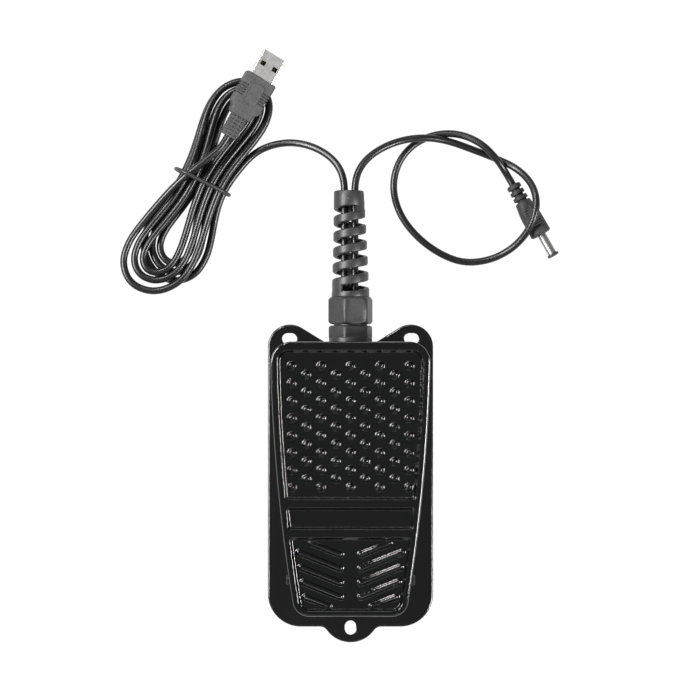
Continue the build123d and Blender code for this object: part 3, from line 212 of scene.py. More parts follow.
class Shape:
    """The points and faces of a piece while it is put together."""

    def __init__(self):
        self.points = []
        self.faces = []

    def ring(self, spots):
        """Adds a row of points and gives their numbers."""
        first = len(self.points)
        self.points += [Vector(spot) for spot in spots]
        return list(range(first, len(self.points)))

    def level(self, loop, height):
        """Adds a flat loop at a height."""
        return self.ring([(x, y, height) for x, y in loop])

    def strips(self, rings, closed=True):
        """Quads between each ring and the next."""
        for low, high in zip(rings, rings[1:]):
            for i in range(len(low) if closed else len(low) - 1):
                j = (i + 1) % len(low)
                self.faces.append((low[i], low[j], high[j], high[i]))

    def cap(self, *rings):
        """One face across each ring."""
        self.faces += [tuple(ring) for ring in rings]

    def solid(self, rings):
        """A row of rings, capped at both its ends."""
        self.strips(rings)
        self.cap(rings[0], rings[-1])

    def hollow(self, rings, closed=True):
        """A skin that comes back to its first ring."""
        self.strips(rings + [rings[0]], closed)

    def flat(self, outer, holes=()):
        """Triangles between a ring and the round rings inside it, seen from above."""
        loops = [outer, *holes]
        numbers = [number for loop in loops for number in loop]
        owner = [index for index, loop in enumerate(loops) for _ in loop]
        border = [tuple(self.points[number][:2]) for number in outer]
        edges = []
        for loop in loops:
            first = len(edges)
            edges += [(first + i, first + (i + 1) % len(loop)) for i in range(len(loop))]
        spots = [Vector(self.points[number][:2]) for number in numbers]
        found = geometry.delaunay_2d_cdt(spots, edges, [], 0, weld_distance)
        for triangle in found[2]:
            corners = [found[3][spot][0] for spot in triangle]
            owners = {owner[corner] for corner in corners}
            if len(owners) == 1:
                middle = sum((spots[corner] for corner in corners), Vector((0, 0))) / 3
                if owners != {0} or not within(middle, border):
                    continue
            self.faces.append(tuple(numbers[corner] for corner in corners))

    def piece(self, name, finish, slot, sharp, body="base", place=None):
        """Makes the mesh object, riding on a body, with edges over an angle left sharp."""
        mesh = bpy.data.meshes.new(name)
        mesh.from_pydata(self.points, [], self.faces)
        if place is not None:
            mesh.transform(place)
        work = bmesh.new()
        work.from_mesh(mesh)
        bmesh.ops.recalc_face_normals(work, faces=work.faces)
        work.to_mesh(mesh)
        work.free()
        mesh.polygons.foreach_set("use_smooth", [True] * len(mesh.polygons))
        mesh.set_sharp_from_angle(angle=radians(sharp))
        return fitted(name, mesh, finish, body)


def mirrored(half):
    """A right half from bottom to top, with its left half added."""
    left = [(-x, y) for x, y in reversed(half) if x > 0.001 * mm]
    return half + left


def plate_loop():
    """The plate's plan, starting at the heel tab."""
    half = plate_width / 2
    blend_y = plate_heel - plate_blend
    blend_x = sqrt((tab_radius + plate_blend) ** 2 - (blend_y - tab_y) ** 2)
    leave = degrees(atan2(blend_y - tab_y, blend_x))
    ear_x = half - ear_radius
    lean = radians(ear_slope)
    touch_x, touch_y = ear_x - ear_radius * sin(lean), ear_y + ear_radius * cos(lean)
    foot_x = touch_x - (touch_y - plate_toe) / tan(lean) - plate_blend * tan(lean / 2)
    return mirrored(
        arc((0, tab_y), tab_radius, -90, leave)
        + arc((blend_x, blend_y), plate_blend, leave + 180, 90, 9)
        + arc((half - heel_corner, plate_heel + heel_corner), heel_corner, -90, 0)
        + arc((ear_x, ear_y), ear_radius, 0, 90 + ear_slope)
        + arc((foot_x, plate_toe + plate_blend), plate_blend, ear_slope - 90, -90, 9)
    )


def slot_loop(x, y, length, turn, width=slot_width):
    """A screw slot's plan."""
    reach = (length - width) / 2
    ends = arc((reach, 0), width / 2, -90, 90, 12) + arc((-reach, 0), width / 2, 90, 270, 12)
    if turn:
        ends = [(-b, a) for a, b in ends]
    return [(x + a, y + b) for a, b in ends]


def quarter(radius, count=5):
    """Insets and drops of a rounded edge, from the side face up to the flat."""
    turns = [radians(90 * i / count) for i in range(count + 1)]
    return [(radius * (1 - cos(turn)), radius * (1 - sin(turn))) for turn in turns]


def base_plate(finish):
    """The plate's shell with its rim, slots and flats."""
    shape = Shape()
    outline = plate_loop()
    rings = [
        shape.level(grown(outline, -rim_wall), plate_under),
        shape.level(grown(outline, -rim_wall), rim_bottom),
        shape.level(grown(outline, -rim_chamfer), rim_bottom),
        shape.level(outline, rim_bottom + rim_chamfer),
    ]
    rings += [shape.level(grown(outline, -inset), plate_top - drop) for inset, drop in quarter(rim_round)]
    rings.append(shape.level(grown(outline, -rim_round - rim_chamfer), plate_top))
    shape.strips(rings)
    tops, unders = [], []
    for slot in screw_slots:
        edge = slot_loop(*slot)
        walls = [shape.level(grown(edge, reach), plate_top - drop) for reach, drop in slot_edge]
        walls.append(shape.level(edge, plate_under))
        shape.strips(walls)
        tops.append(walls[0])
        unders.append(walls[-1])
    shape.flat(rings[-1], tops)
    shape.flat(rings[0], unders)
    return shape.piece("base_plate_pressing", finish, "plate_enamel", sharp=50)


plate_enamel = Finish("textured_black_coat", specular=1.0)
plate_grain = plate_enamel.noise(0.7 * mm, 3.0)
plate_cloud = plate_enamel.noise(9 * mm)
plate_colour = plate_enamel.blend(plate_grain, (0.0004, 0.0004, 0.0005), (0.0020, 0.0020, 0.0021))
plate_enamel.feed("Base Color", plate_colour)
plate_enamel.feed("Roughness", 0.13 + plate_grain * 0.06 + plate_cloud * 0.03)
plate_enamel.relief(plate_grain + plate_enamel.specks(0.9 * mm) * 0.4, 0.01 * mm)
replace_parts(base_plate(plate_enamel), "base_plate")

# Underside pad and stops
# A flat rubber pad in the plate's recess, glued on, that stands on the floor and stops the pedal
# from sliding, and moulded rubber stops above the plate that end the tread's travel.


def mottled(name, size, detail, colours, roughness, depth=0, **shine):
    """A finish whose colour, roughness and relief follow one cloudy pattern."""
    finish = Finish(name, **shine)
    cloud = finish.noise(size, detail)
    finish.feed("Base Color", finish.blend(cloud, *colours))
    least, spread = roughness
    finish.feed("Roughness", least + cloud * spread)
    if depth:
        finish.relief(cloud, depth)
    return finish


rubber_colours = ((0.008, 0.008, 0.008), (0.02, 0.02, 0.02))
rubber = mottled("black_rubber", 0.5 * mm, 4.0, rubber_colours, (0.6, 0.25), 0.08 * mm, specular=0.3)
dress(rubber, "underside_pad", "toe_stops", "heel_stop")

# Chassis
# A folded steel channel with a front wall for the gland, in the same black as the plate but
# smoother, held to the plate by four zinc-plated rivets.

chassis_colours = ((0.007, 0.007, 0.008), (0.014, 0.014, 0.015))
chassis_enamel = mottled(
    "satin_black_coat", 2.5 * mm, 3.0, chassis_colours, (0.28, 0.16), 0.03 * mm, specular=0.45
)
dress(chassis_enamel, "chassis")

zinc_colours = ((0.42, 0.42, 0.44), (0.66, 0.66, 0.68))
zinc = mottled("zinc_plate", 1.6 * mm, 4.0, zinc_colours, (0.25, 0.25), metallic=1.0)
zinc.relief(zinc.noise(0.3 * mm), 0.01 * mm)
dress(zinc, "chassis_rivets")

# Tread
# One steel sheet pressed with three sunken panels, sixty-eight dots and ten chevron bars, its
# sides folded down as skirts, stove-enamelled gloss black. It turns on the pin near its heel.

sheet = 1.2 * mm
tread_toe = 68.5 * mm
tread_heel = -62.1 * mm
toe_half = 37.4 * mm
middle_half = 34.4 * mm
heel_half = 26.3 * mm
toe_corner = 10 * mm
tread_heel_corner = 8 * mm
edge_round = 1 * mm
inner_round = 0.4 * mm
toe_height = 41.74 * mm
heel_height = 21.74 * mm
skirt_toe = 20 * mm
skirt_heel = 6 * mm
notch_radius = 13 * mm
notch_top = 38.2 * mm
tread_tan = (toe_height - heel_height) / (tread_toe - tread_heel)
tread_cos = cos(atan2(toe_height - heel_height, tread_toe - tread_heel))
tread_length = (tread_toe - tread_heel) / tread_cos
panel_depth = 1.3 * mm
wall_run = 1.15 * mm
wall_round = 0.5 * mm
side_rim = 2.93 * mm
side_rim_growth = 0.3 * mm
toe_rim = 4.0 * mm
heel_rim = 2.6 * mm
rib_width = 3.8 * mm
dot_panel_length = 71.3 * mm
bar_panel_length = 10.6 * mm
panel_corner = 5 * mm
panel_small_corner = 1.5 * mm
panel_step = 4 * mm
support = 0.1 * mm
skirt_lip = 0.3 * mm
side_parts = 44
tread_middle = (tread_toe + tread_heel) / 2


def tread_height(y):
    """Height of the tread's top at a place along it."""
    return heel_height + (y - tread_heel) * tread_tan


def skirt_bottom(y):
    """Height of the skirt's lower edge at a place along it."""
    return skirt_heel + (y - tread_heel) * (skirt_toe - skirt_heel) / (tread_toe - tread_heel)


def half_width(y):
    """Half width of the tread at a place along it."""
    reach = (y - tread_middle) / (tread_toe - tread_middle)
    bow = middle_half - (toe_half + heel_half) / 2
    return middle_half - bow * reach**2 + (toe_half - heel_half) / 2 * reach


def circle_through(a, b, c):
    """Centre and radius of the circle through three places."""
    first, second = Vector(b) - Vector(a), Vector(c) - Vector(a)
    size = 2 * (first.x * second.y - first.y * second.x)
    x = (second.y * first.length_squared - first.y * second.length_squared) / size
    y = (first.x * second.length_squared - second.x * first.length_squared) / size
    return (a[0] + x, a[1] + y), hypot(x, y)


def tread_loop():
    """The tread's plan: straight ends, bowed sides and rounded corners, with marks at the notch."""
    bow = [(toe_half, tread_toe), (middle_half, tread_middle), (heel_half, tread_heel)]
    centre, radius = circle_through(*bow)
    corners = []
    for end, corner, inwards in ((tread_heel, tread_heel_corner, 1), (tread_toe, toe_corner, -1)):
        y = end + inwards * corner
        x = centre[0] + sqrt((radius - corner) ** 2 - (y - centre[1]) ** 2)
        corners.append((x, y, degrees(atan2(y - centre[1], x - centre[0])), corner))
    (low_x, low_y, low_turn, low_corner), (high_x, high_y, high_turn, high_corner) = corners
    half = [(x, tread_heel) for x in (0, low_x * 0.33, low_x * 0.66)]
    half += arc((low_x, low_y), low_corner, -90, low_turn, 5)[:-1]
    half += arc(centre, radius, low_turn, high_turn, (high_turn - low_turn) / side_parts)
    half += arc((high_x, high_y), high_corner, high_turn, 90, 4)[1:]
    marks = [notch_radius + 3 * mm, notch_radius + 0.05 * mm]
    marks += [notch_radius * cos(radians(turn)) for turn in (0, 2, 6, 12, 20, 30, 40, 50, 60, 70, 80, 90)]
    half += [(max(x, 0), tread_toe) for x in marks]
    return mirrored(half)


def notch_edge(x, y):
    """Lower edge of the sheet at a place on the outline, raised over the gland's arch."""
    low = skirt_bottom(y)
    if y < tread_toe - 2 * sheet or abs(x) >= notch_radius:
        return low
    return max(low, notch_top - notch_radius + sqrt(notch_radius**2 - x * x))


def wall_steps(run, drop, radius, count=4):
    """Offsets and drops inwards from a loop: a strip of flat, then a slanted wall with rounded edges."""
    slant = atan2(drop, run)
    lead = radius * tan(slant / 2)
    turns = [slant * i / count for i in range(count + 1)]
    upper = [(lead - radius * sin(turn), radius * (1 - cos(turn))) for turn in turns]
    lower = [(-run - offset, drop - down) for offset, down in reversed(upper)]
    return [(lead + support, 0)] + upper + lower


def rounded_loop(corners, radii, step=9):
    """A loop through corners, each rounded by its own radius."""
    spots = []
    for i, corner in enumerate(corners):
        here = Vector(corner)
        back = (Vector(corners[i - 1]) - here).normalized()
        ahead = (Vector(corners[(i + 1) % len(corners)]) - here).normalized()
        half_turn = back.angle(ahead) / 2
        centre = here + (back + ahead).normalized() * (radii[i] / sin(half_turn))
        start = here + back * (radii[i] / tan(half_turn)) - centre
        sweep = 180 - degrees(2 * half_turn)
        first = degrees(atan2(start.y, start.x))
        spots += arc(centre, radii[i], first, first + sweep, step)
    return spots


def divided(first, second, parts):
    """Even places from one to another, without the last."""
    (x, y), run, rise = first, second[0] - first[0], second[1] - first[1]
    return [(x + run * i / parts, y + rise * i / parts) for i in range(parts)]


def panel_side(y):
    """How far a panel's side lies from the middle, following the tread's bowed side."""
    return half_width(y) - side_rim - side_rim_growth * (y - tread_middle) / (tread_toe - tread_middle)


def panel_loop(start, length, corner, small_corner):
    """A sunken panel's outline in plan."""
    low, high = (tread_heel + place * tread_cos for place in (start, start + length))
    low_x, high_x = panel_side(low), panel_side(high)
    plain = rounded_loop(
        [(low_x, low), (high_x, high), (-high_x, high), (-low_x, low)],
        [small_corner, corner, corner, small_corner],
    )
    spots = []
    for first, second in zip(plain, plain[1:] + plain[:1]):
        for x, y in divided(first, second, max(1, round(abs(second[1] - first[1]) / panel_step))):
            straight = low_x + (high_x - low_x) * (y - low) / (high - low)
            spots.append((x * panel_side(y) / straight, y))
    return spots


dot_start = tread_length - toe_rim - dot_panel_length
bar_start = dot_start - rib_width - bar_panel_length
chevron_length = bar_start - rib_width - heel_rim
panels = [
    (heel_rim, chevron_length, panel_small_corner, panel_corner),
    (bar_start, bar_panel_length, panel_small_corner, panel_small_corner),
    (dot_start, dot_panel_length, panel_corner, panel_small_corner),
]
dot_pitch_x = 13.75 * mm
dot_pitch_y = 8.27 * mm
dot_rows = 8
dot_columns = 5
dot_first_row = 7.4 * mm
dot_radius = 2.05 * mm
dot_height = 1.25 * mm
dot_wall_run = 1.05 * mm
dot_round = 0.8 * mm
dot_crown = 0.04 * mm
bar_width = 3.1 * mm
bar_height = 1.1 * mm
bar_wall_run = 0.75 * mm
bar_round = 1.0 * mm
bar_crown = 0.06 * mm
bar_crown_inset = 0.25 * mm
bar_tilt = 22.5
bar_pitch = 6.9 * mm
bar_first = 8.25 * mm
bar_inner_x = 4.9 * mm
bar_edge_gap = 6.35 * mm
bar_first_x = 18 * mm
bar_last_inner_x = 10.3 * mm
bar_count = 5


def dot_places():
    """Centres of the dots, rows of five with rows of four between them."""
    top = tread_length - toe_rim - dot_first_row
    for row in range(2 * dot_rows - 1):
        count = dot_columns - row % 2
        y = tread_heel + (top - row * dot_pitch_y / 2) * tread_cos
        for column in range(count):
            yield (column - (count - 1) / 2) * dot_pitch_x, y


def bar_loops():
    """Outlines of the chevron bars."""
    rise = tan(radians(bar_tilt))
    for index in range(bar_count):
        foot = heel_rim + chevron_length - bar_first - index * bar_pitch
        inner = bar_last_inner_x if index == bar_count - 1 else bar_inner_x
        reach = half_width(tread_heel + (foot + bar_pitch) * tread_cos) - bar_edge_gap
        outer = reach if index else bar_first_x
        middle = (inner + outer) / 2
        span = (outer - inner) / cos(radians(bar_tilt)) + bar_width
        y = tread_heel + (foot + (middle - bar_inner_x) * rise) * tread_cos
        plain = slot_loop(0, 0, span, 0, bar_width)
        for side in (-1, 1):
            across, along = cos(radians(side * bar_tilt)), sin(radians(side * bar_tilt))
            yield [
                (side * middle + a * across - b * along, y + (a * along + b * across) * tread_cos)
                for a, b in plain
            ]


class Sheet(Shape):
    """A shape laid on the tread's slope."""

    def on_slope(self, loop, drop):
        """Adds a loop at a drop below the tread's top."""
        return self.ring([(x, y, tread_height(y) - drop / tread_cos) for x, y in loop])

    def raised(self, loops):
        """Adds rings of (loop, drop) pairs joined by quads, and gives the first and last."""
        rings = [self.on_slope(loop, drop) for loop, drop in loops]
        self.strips(rings)
        return rings[0], rings[-1]


def room(spot, turn, border):
    """Distance from a place to a border in a direction."""
    run, rise = cos(turn), sin(turn)
    nearest = 1.0
    for (x1, y1), (x2, y2) in zip(border, border[1:] + border[:1]):
        first = (x1 - spot[0]) * rise - (y1 - spot[1]) * run
        second = (x2 - spot[0]) * rise - (y2 - spot[1]) * run
        if (first > 0) != (second > 0):
            share = first / (first - second)
            across, along = x1 + (x2 - x1) * share - spot[0], y1 + (y2 - y1) * share - spot[1]
            ahead = across * run + along * rise
            if ahead > 0:
                nearest = min(nearest, ahead)
    return nearest


def drawn_in(rings, border):
    """Rings of a raised form, drawn in where a wall is near its foot."""
    core, foot = rings[-1][0], rings[0][0]
    shares = []
    for (x, y), (foot_x, foot_y) in zip(core, foot):
        space = room((x, y), atan2(foot_y - y, foot_x - x), border) - 0.05 * mm
        shares.append(min(1.0, space / hypot(foot_x - x, foot_y - y)))
    drawn = []
    for loop, drop in rings:
        pairs = zip(core, loop, shares)
        drawn.append(([(x + (a - x) * share, y + (b - y) * share) for (x, y), (a, b), share in pairs], drop))
    return drawn


def dot_rings(x, y):
    """A dot's rings from its foot to its slightly domed top."""
    steps = wall_steps(dot_wall_run, dot_height, dot_round, 5)
    rings = [(dot_radius + offset, height) for offset, height in steps]
    last = rings[-1][0]
    rings += [(last * share, dot_height + dot_crown * (1 - share**2)) for share in (0.6, 0.25)]
    return [(arc((x, y), radius, 0, 360, 15)[:-1], panel_depth - height) for radius, height in rings]


def bar_rings(loop):
    """A bar's rings from its foot to its slightly domed top."""
    rings = wall_steps(bar_wall_run, bar_height, bar_round, 5)
    rings.append((rings[-1][0] - bar_crown_inset, bar_height + bar_crown))
    return [(grown(loop, offset), panel_depth - height) for offset, height in rings]


def tread(finish):
    """The whole pressing, outer face and inner face, joined along its lower edge."""
    shape = Sheet()
    outline = tread_loop()
    bottoms = [notch_edge(x, y) for x, y in outline]
    outer = [
        shape.ring([(x, y, low + lift) for (x, y), low in zip(outline, bottoms)]) for lift in (0, skirt_lip)
    ]
    outer.append(shape.on_slope(outline, edge_round + skirt_lip))
    outer += [shape.on_slope(grown(outline, -inset), drop) for inset, drop in quarter(edge_round, 7)]
    outer.append(shape.on_slope(grown(outline, -edge_round - support), 0))
    shape.strips(outer)

    loops = [panel_loop(*panel) for panel in panels]
    steps = wall_steps(wall_run, panel_depth, wall_round)
    floor_offset = -wall_run - steps[0][0]
    steps.append((floor_offset, panel_depth))
    walls = [shape.raised([(grown(loop, offset), drop) for offset, drop in steps]) for loop in loops]
    shape.flat(outer[-1], [rim for rim, _ in walls])

    raised = [[bar_rings(loop) for loop in bar_loops()], [], [dot_rings(x, y) for x, y in dot_places()]]
    for loop, (_, floor), forms in zip(loops, walls, raised):
        border = grown(loop, floor_offset)
        feet = []
        for rings in forms:
            foot, top = shape.raised(drawn_in(rings, border))
            shape.cap(top)
            feet.append(foot)
        shape.flat(floor, feet)

    inner_line = grown(outline, -sheet)
    inner = [shape.ring([(x, y, low) for (x, y), low in zip(inner_line, bottoms)])]
    inner += [
        shape.on_slope(grown(inner_line, -inset), sheet + drop) for inset, drop in quarter(inner_round, 4)
    ]
    shape.strips([outer[0], *inner])
    inner_rims = []
    for loop in loops:
        under = grown(loop, sheet / 2)
        rim, floor = shape.raised([(under, sheet), (grown(under, -wall_run), sheet + panel_depth)])
        inner_rims.append(rim)
        shape.flat(floor)
    shape.flat(inner[-1], inner_rims)
    return shape.piece("tread_pressing", finish, "tread_enamel", sharp=42, body="pedal")


enamel_colours = ((0.0004, 0.0004, 0.0005), (0.0012, 0.0012, 0.0013))
tread_enamel = mottled("gloss_black_enamel", 14 * mm, 3.0, enamel_colours, (0.07, 0.05), specular=1.0)
tread_enamel.relief(tread_enamel.noise(1.4 * mm, 1.0), 0.0008 * mm)
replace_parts(tread(tread_enamel), "pedal_tread")

# Hinge
# A steel pin across both skirts and the chassis, coated black, with a turned head at each end, and
# two collared nylon bushes that carry the skirts on it.

dress(chassis_enamel, "hinge_pin")
bush_colours = ((0.012, 0.012, 0.013), (0.02, 0.02, 0.022))
bush_nylon = mottled("bush_nylon", 1.5 * mm, 3.0, bush_colours, (0.38, 0.15))
dress(bush_nylon, "hinge_bushes")

# Return springs
# Two coil springs of drawn wire between their seats and caps, which push the tread back up and
# close as it is pressed.

spring_x = 13 * mm
spring_y = 21 * mm
spring_radius = 5 * mm
spring_wire = 1.3 * mm
spring_low = 7.15 * mm
spring_high = 28.65 * mm
spring_turns = 4.5
spring_turn_steps = 28


def round_turns(count):
    """Even turns round a circle."""
    return [2 * pi * k / count for k in range(count)]


def round_sections(line, radius, count=10):
    """Round sections square to a line that runs nearly level."""
    for i, spot in enumerate(line):
        run = (line[min(i + 1, len(line) - 1)] - line[max(i - 1, 0)]).normalized()
        side = run.cross(Vector((0, 0, 1))).normalized()
        up = side.cross(run)
        yield [spot + (side * cos(turn) + up * sin(turn)) * radius for turn in round_turns(count)]


def springs(finish):
    """Both springs as one piece."""
    shape = Shape()
    steps = round(spring_turns * spring_turn_steps)
    for side in (-1, 1):
        line = []
        for i in range(steps + 1):
            turn = 2 * pi * spring_turns * i / steps
            height = spring_low + (spring_high - spring_low) * i / steps
            x, y = side * spring_x + spring_radius * cos(turn), spring_y + spring_radius * sin(turn)
            line.append(Vector((x, y, height)))
        shape.solid([shape.ring(section) for section in round_sections(line, spring_wire / 2)])
    return shape.piece("return_spring_coils", finish, "spring_steel", sharp=60)


spring_colours = ((0.3, 0.3, 0.31), (0.5, 0.5, 0.52))
spring_steel = mottled("spring_steel", 0.8 * mm, 3.0, spring_colours, (0.22, 0.2), metallic=1.0)
spring_piece = springs(spring_steel)
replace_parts(spring_piece, "return_springs")
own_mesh(spring_piece)
dress(zinc, "spring_seats", "spring_caps")

# Snap switch
# A moulded switch on an angle bracket, with a sprung lever, a plunger and three solder tabs. The
# adjusting screw under the tread presses the lever.

switch_colours = ((0.01, 0.01, 0.011), (0.02, 0.02, 0.022))
switch_plastic = mottled("switch_moulding", 0.6 * mm, 4.0, switch_colours, (0.42, 0.2))
nickel_colours = ((0.64, 0.635, 0.62), (0.80, 0.795, 0.78))
nickel = mottled("nickel_plate", 2.2 * mm, 4.0, nickel_colours, (0.28, 0.08), metallic=1.0)
dress(switch_plastic, "switch_case", "switch_plunger")
dress(nickel, "switch_terminals")
dress(spring_steel, "switch_lever")
dress(zinc, "lever_pin", "switch_bracket", "switch_screws")
dress(zinc, "actuator_boss", "actuator_screw", "actuator_locknut")

# Cable gland
# A black nylon gland: a flange and hexagon through the wall, and a clamping nut that is one
# moulding with its spiral tail, which lets both cords bend gently where they leave.

gland_z = 15 * mm
flange_start = 66 * mm
flange_radius = 10.3 * mm
flange_lip = 0.3 * mm
flange_round = 0.9 * mm
hex_start = 71 * mm
hex_sunk = 0.5 * mm
hex_reach = 10.75 * mm
hex_flats = 19 * mm
hex_corner = 0.5 * mm
flat_parts = 10
neck_start = 76.2 * mm
neck_sunk = 1 * mm
neck_radius = 8 * mm
neck_end = 80.6 * mm
neck_chamfer = 0.3 * mm
gland_bore = 5.6 * mm
thread_radius = 7.6 * mm
thread_start = 57 * mm
thread_turns = 12
thread_pitch = 0.7 * mm
thread_depth = 0.45 * mm
nut_start = 76.8 * mm
nut_flats = 19.2 * mm
nut_turn = 14
nut_reach = 10.9 * mm
nut_gap = 0.1 * mm
tail_start = 89.9 * mm
tail_end = 140.5 * mm
tail_base_radius = 9.05 * mm
tail_tip_radius = 7.15 * mm
tail_wall = 1.9 * mm
tail_band = 4.2 * mm
tail_pitch = 7.5 * mm
tail_turn_steps = 40
tail_collar = 7.2 * mm
tail_collar_lip = 0.6 * mm
tail_foot = 2.6 * mm
tail_foot_lip = 0.25 * mm
tail_lean = -0.8 * mm
closing_length = 3.2 * mm
closing_sunk = 0.1 * mm
closing_from = 30
closing_sweep = 100
closing_parts = 16


def leaned(y):
    """How far the soft tail leans to the side at a place along it."""
    share = max(0.0, (y - tail_start) / (tail_end - tail_start))
    return tail_lean * share**2


def tail_radius(y):
    """Outer radius of the tail at a place along it."""
    share = (y - tail_start) / (tail_end - tail_start)
    return tail_base_radius + (tail_tip_radius - tail_base_radius) * share


def turned(shape, profile, count=72):
    """A skin turned about the gland's axis, from places along it and radii."""
    turns = round_turns(count)
    shape.hollow([
        shape.ring([(leaned(y) + radius * cos(turn), y, gland_z + radius * sin(turn)) for turn in turns])
        for y, radius in profile
    ])


def hexagon(flats):
    """A hexagon's loop, its corners slightly rounded, with middle points on the flats."""
    reach = flats / 2 / cos(radians(30))
    turns = [radians(30 + nut_turn + 60 * k) for k in range(6)]
    loop = rounded_loop([(reach * cos(turn), reach * sin(turn)) for turn in turns], [hex_corner] * 6, 15)
    spots = []
    for first, second in zip(loop, loop[1:] + loop[:1]):
        on_flat = hypot(second[0] - first[0], second[1] - first[1]) > hex_corner
        spots += divided(first, second, flat_parts if on_flat else 1)
    return spots


def hex_skin(shape, flats, levels):
    """A hexagonal skin from places, insets and the round limits of a turned chamfer."""
    rings = []
    for y, inset, limit in levels:
        loop = grown(hexagon(flats), -inset)
        cuts = [min(1.0, limit / hypot(a, b)) for a, b in loop]
        rings.append(shape.ring([(a * cut, y, gland_z + b * cut) for (a, b), cut in zip(loop, cuts)]))
    shape.hollow(rings)


def gland_body(finish):
    """Thread, flange, hexagon and neck, each a closed skin."""
    shape = Shape()
    profile = [(thread_start, gland_bore), (thread_start, thread_radius)]
    for i in range(thread_turns):
        y = thread_start + (i + 0.5) * thread_pitch
        profile += [(y, thread_radius - thread_depth), (y + thread_pitch / 2, thread_radius)]
    profile += [(flange_start, thread_radius), (flange_start, flange_radius - flange_lip)]
    profile.append((flange_start + flange_lip, flange_radius))
    profile += [(hex_start - drop, flange_radius - inset) for inset, drop in quarter(flange_round)]
    turned(shape, profile + [(hex_start, gland_bore)])
    hex_skin(shape, hex_flats, [
        (hex_start - hex_sunk, 0, gland_bore), (hex_start - hex_sunk, 0, hex_reach),
        (neck_start - 0.9 * mm, 0, hex_reach), (neck_start - 0.5 * mm, 0, 10.35 * mm),
        (neck_start - 0.2 * mm, 0.1 * mm, 9.8 * mm), (neck_start, 0.4 * mm, 9.1 * mm),
        (neck_start, 0, gland_bore),
    ])
    turned(shape, [
        (neck_start - neck_sunk, gland_bore), (neck_start - neck_sunk, neck_radius),
        (neck_end - neck_chamfer, neck_radius), (neck_end, neck_radius - neck_chamfer),
        (neck_end, gland_bore),
    ])
    return shape.piece("gland_body_moulding", finish, "gland_nylon", sharp=35)


def collar(shape, start, end, lip):
    """A closed stretch of the tail with rounded lips."""
    places = [
        (start, -lip), (start + lip * 0.3, -lip * 0.3), (start + lip, 0),
        (end - lip, 0), (end - lip * 0.3, -lip * 0.3), (end, -lip), (end, -tail_wall), (start, -tail_wall),
    ]
    turned(shape, [(y, tail_radius(y) + sink) for y, sink in places])


def rectangle(half_x, half_y):
    """A rectangle's corners."""
    return [(half_x, half_y), (-half_x, half_y), (-half_x, -half_y), (half_x, -half_y)]


def tail_spiral(shape):
    """The helical band, a rounded flat section wound on the taper."""
    first = tail_start + tail_foot - tail_band / 2
    last = tail_end - tail_collar + tail_band / 2
    turns = (last - first) / tail_pitch
    steps = round(turns * tail_turn_steps)
    corners = rectangle(tail_band / 2, tail_wall / 2)
    section = rounded_loop(corners, [0.75 * mm, 0.75 * mm, 0.3 * mm, 0.3 * mm], 18)
    rings = []
    for i in range(steps + 1):
        turn = 2 * pi * turns * i / steps
        y = first + (last - first) * i / steps
        outward = Vector((sin(turn), 0, cos(turn)))
        radius = tail_radius(y) - tail_wall / 2
        run = Vector((cos(turn) * radius, tail_pitch / (2 * pi), -sin(turn) * radius)).normalized()
        across = outward.cross(run)
        centre = Vector((leaned(y), y, gland_z)) + outward * radius
        rings.append(shape.ring([centre + across * a + outward * b for a, b in section]))
    shape.solid(rings)


def closing(shape, start, side):
    """The stretch of wall that closes the spiral's end against the ring beside it."""
    sweep = [closing_from + closing_sweep * k / closing_parts for k in range(closing_parts + 1)]
    turns = [radians(side * turn) for turn in sweep]
    end = start + closing_length
    inside = tail_wall - closing_sunk
    rings = []
    for y, sink in ((start, closing_sunk), (end, closing_sunk), (end, inside), (start, inside)):
        radius = tail_radius(y) - sink
        rings.append(shape.ring([(leaned(y) + radius * sin(t), y, gland_z + radius * cos(t)) for t in turns]))
    shape.hollow(rings, closed=False)
    shape.cap([ring[0] for ring in rings], [ring[-1] for ring in rings])


def gland_nut(finish):
    """The clamping nut and its spiral tail."""
    shape = Shape()
    bore = neck_radius + nut_gap
    inner_end = neck_end + 2 * nut_gap
    hex_skin(shape, nut_flats, [
        (nut_start, 0, bore), (nut_start, 0.5 * mm, 9.0 * mm), (nut_start + 0.25 * mm, 0.1 * mm, 9.7 * mm),
        (nut_start + 0.7 * mm, 0, 10.35 * mm), (nut_start + 1.2 * mm, 0, nut_reach),
        (tail_start - 1.4 * mm, 0, nut_reach), (tail_start - 0.8 * mm, 0, 10.3 * mm),
        (tail_start - 0.3 * mm, 0.1 * mm, 9.75 * mm), (tail_start, 0.5 * mm, 9.2 * mm),
        (tail_start, 0, 6 * mm), (inner_end, 0, 6.6 * mm), (inner_end, 0, bore),
    ])
    spiral_start, spiral_end = tail_start + tail_foot, tail_end - tail_collar
    collar(shape, tail_start, spiral_start, tail_foot_lip)
    collar(shape, spiral_end, tail_end, tail_collar_lip)
    tail_spiral(shape)
    closing(shape, spiral_start - closing_sunk, -1)
    closing(shape, spiral_end - closing_length + closing_sunk, 1)
    return shape.piece("gland_nut_moulding", finish, "gland_nylon", sharp=35)


def grained(name, grain_size, cloud_size, colours, roughness, depth, specular):
    """A moulded finish: fine grain in relief over slower clouds."""
    finish = Finish(name, specular=specular)
    grain, cloud = finish.noise(grain_size, 3.0), finish.noise(cloud_size)
    finish.feed("Base Color", finish.blend(grain * 0.7 + cloud * 0.3, *colours))
    least, by_cloud, by_grain = roughness
    finish.feed("Roughness", least + cloud * by_cloud + grain * by_grain)
    finish.relief(grain, depth)
    return finish


nylon_colours = ((0.004, 0.004, 0.0042), (0.034, 0.034, 0.035))
nylon = grained("gland_nylon", 0.9 * mm, 6 * mm, nylon_colours, (0.36, 0.06, 0.1), 0.04 * mm, 0.55)
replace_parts(gland_body(nylon), "gland_body")
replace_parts(gland_nut(nylon), "gland_nut")
dress(nylon, "gland_locknut")
dress(rubber, "gland_washer", "gland_seal")

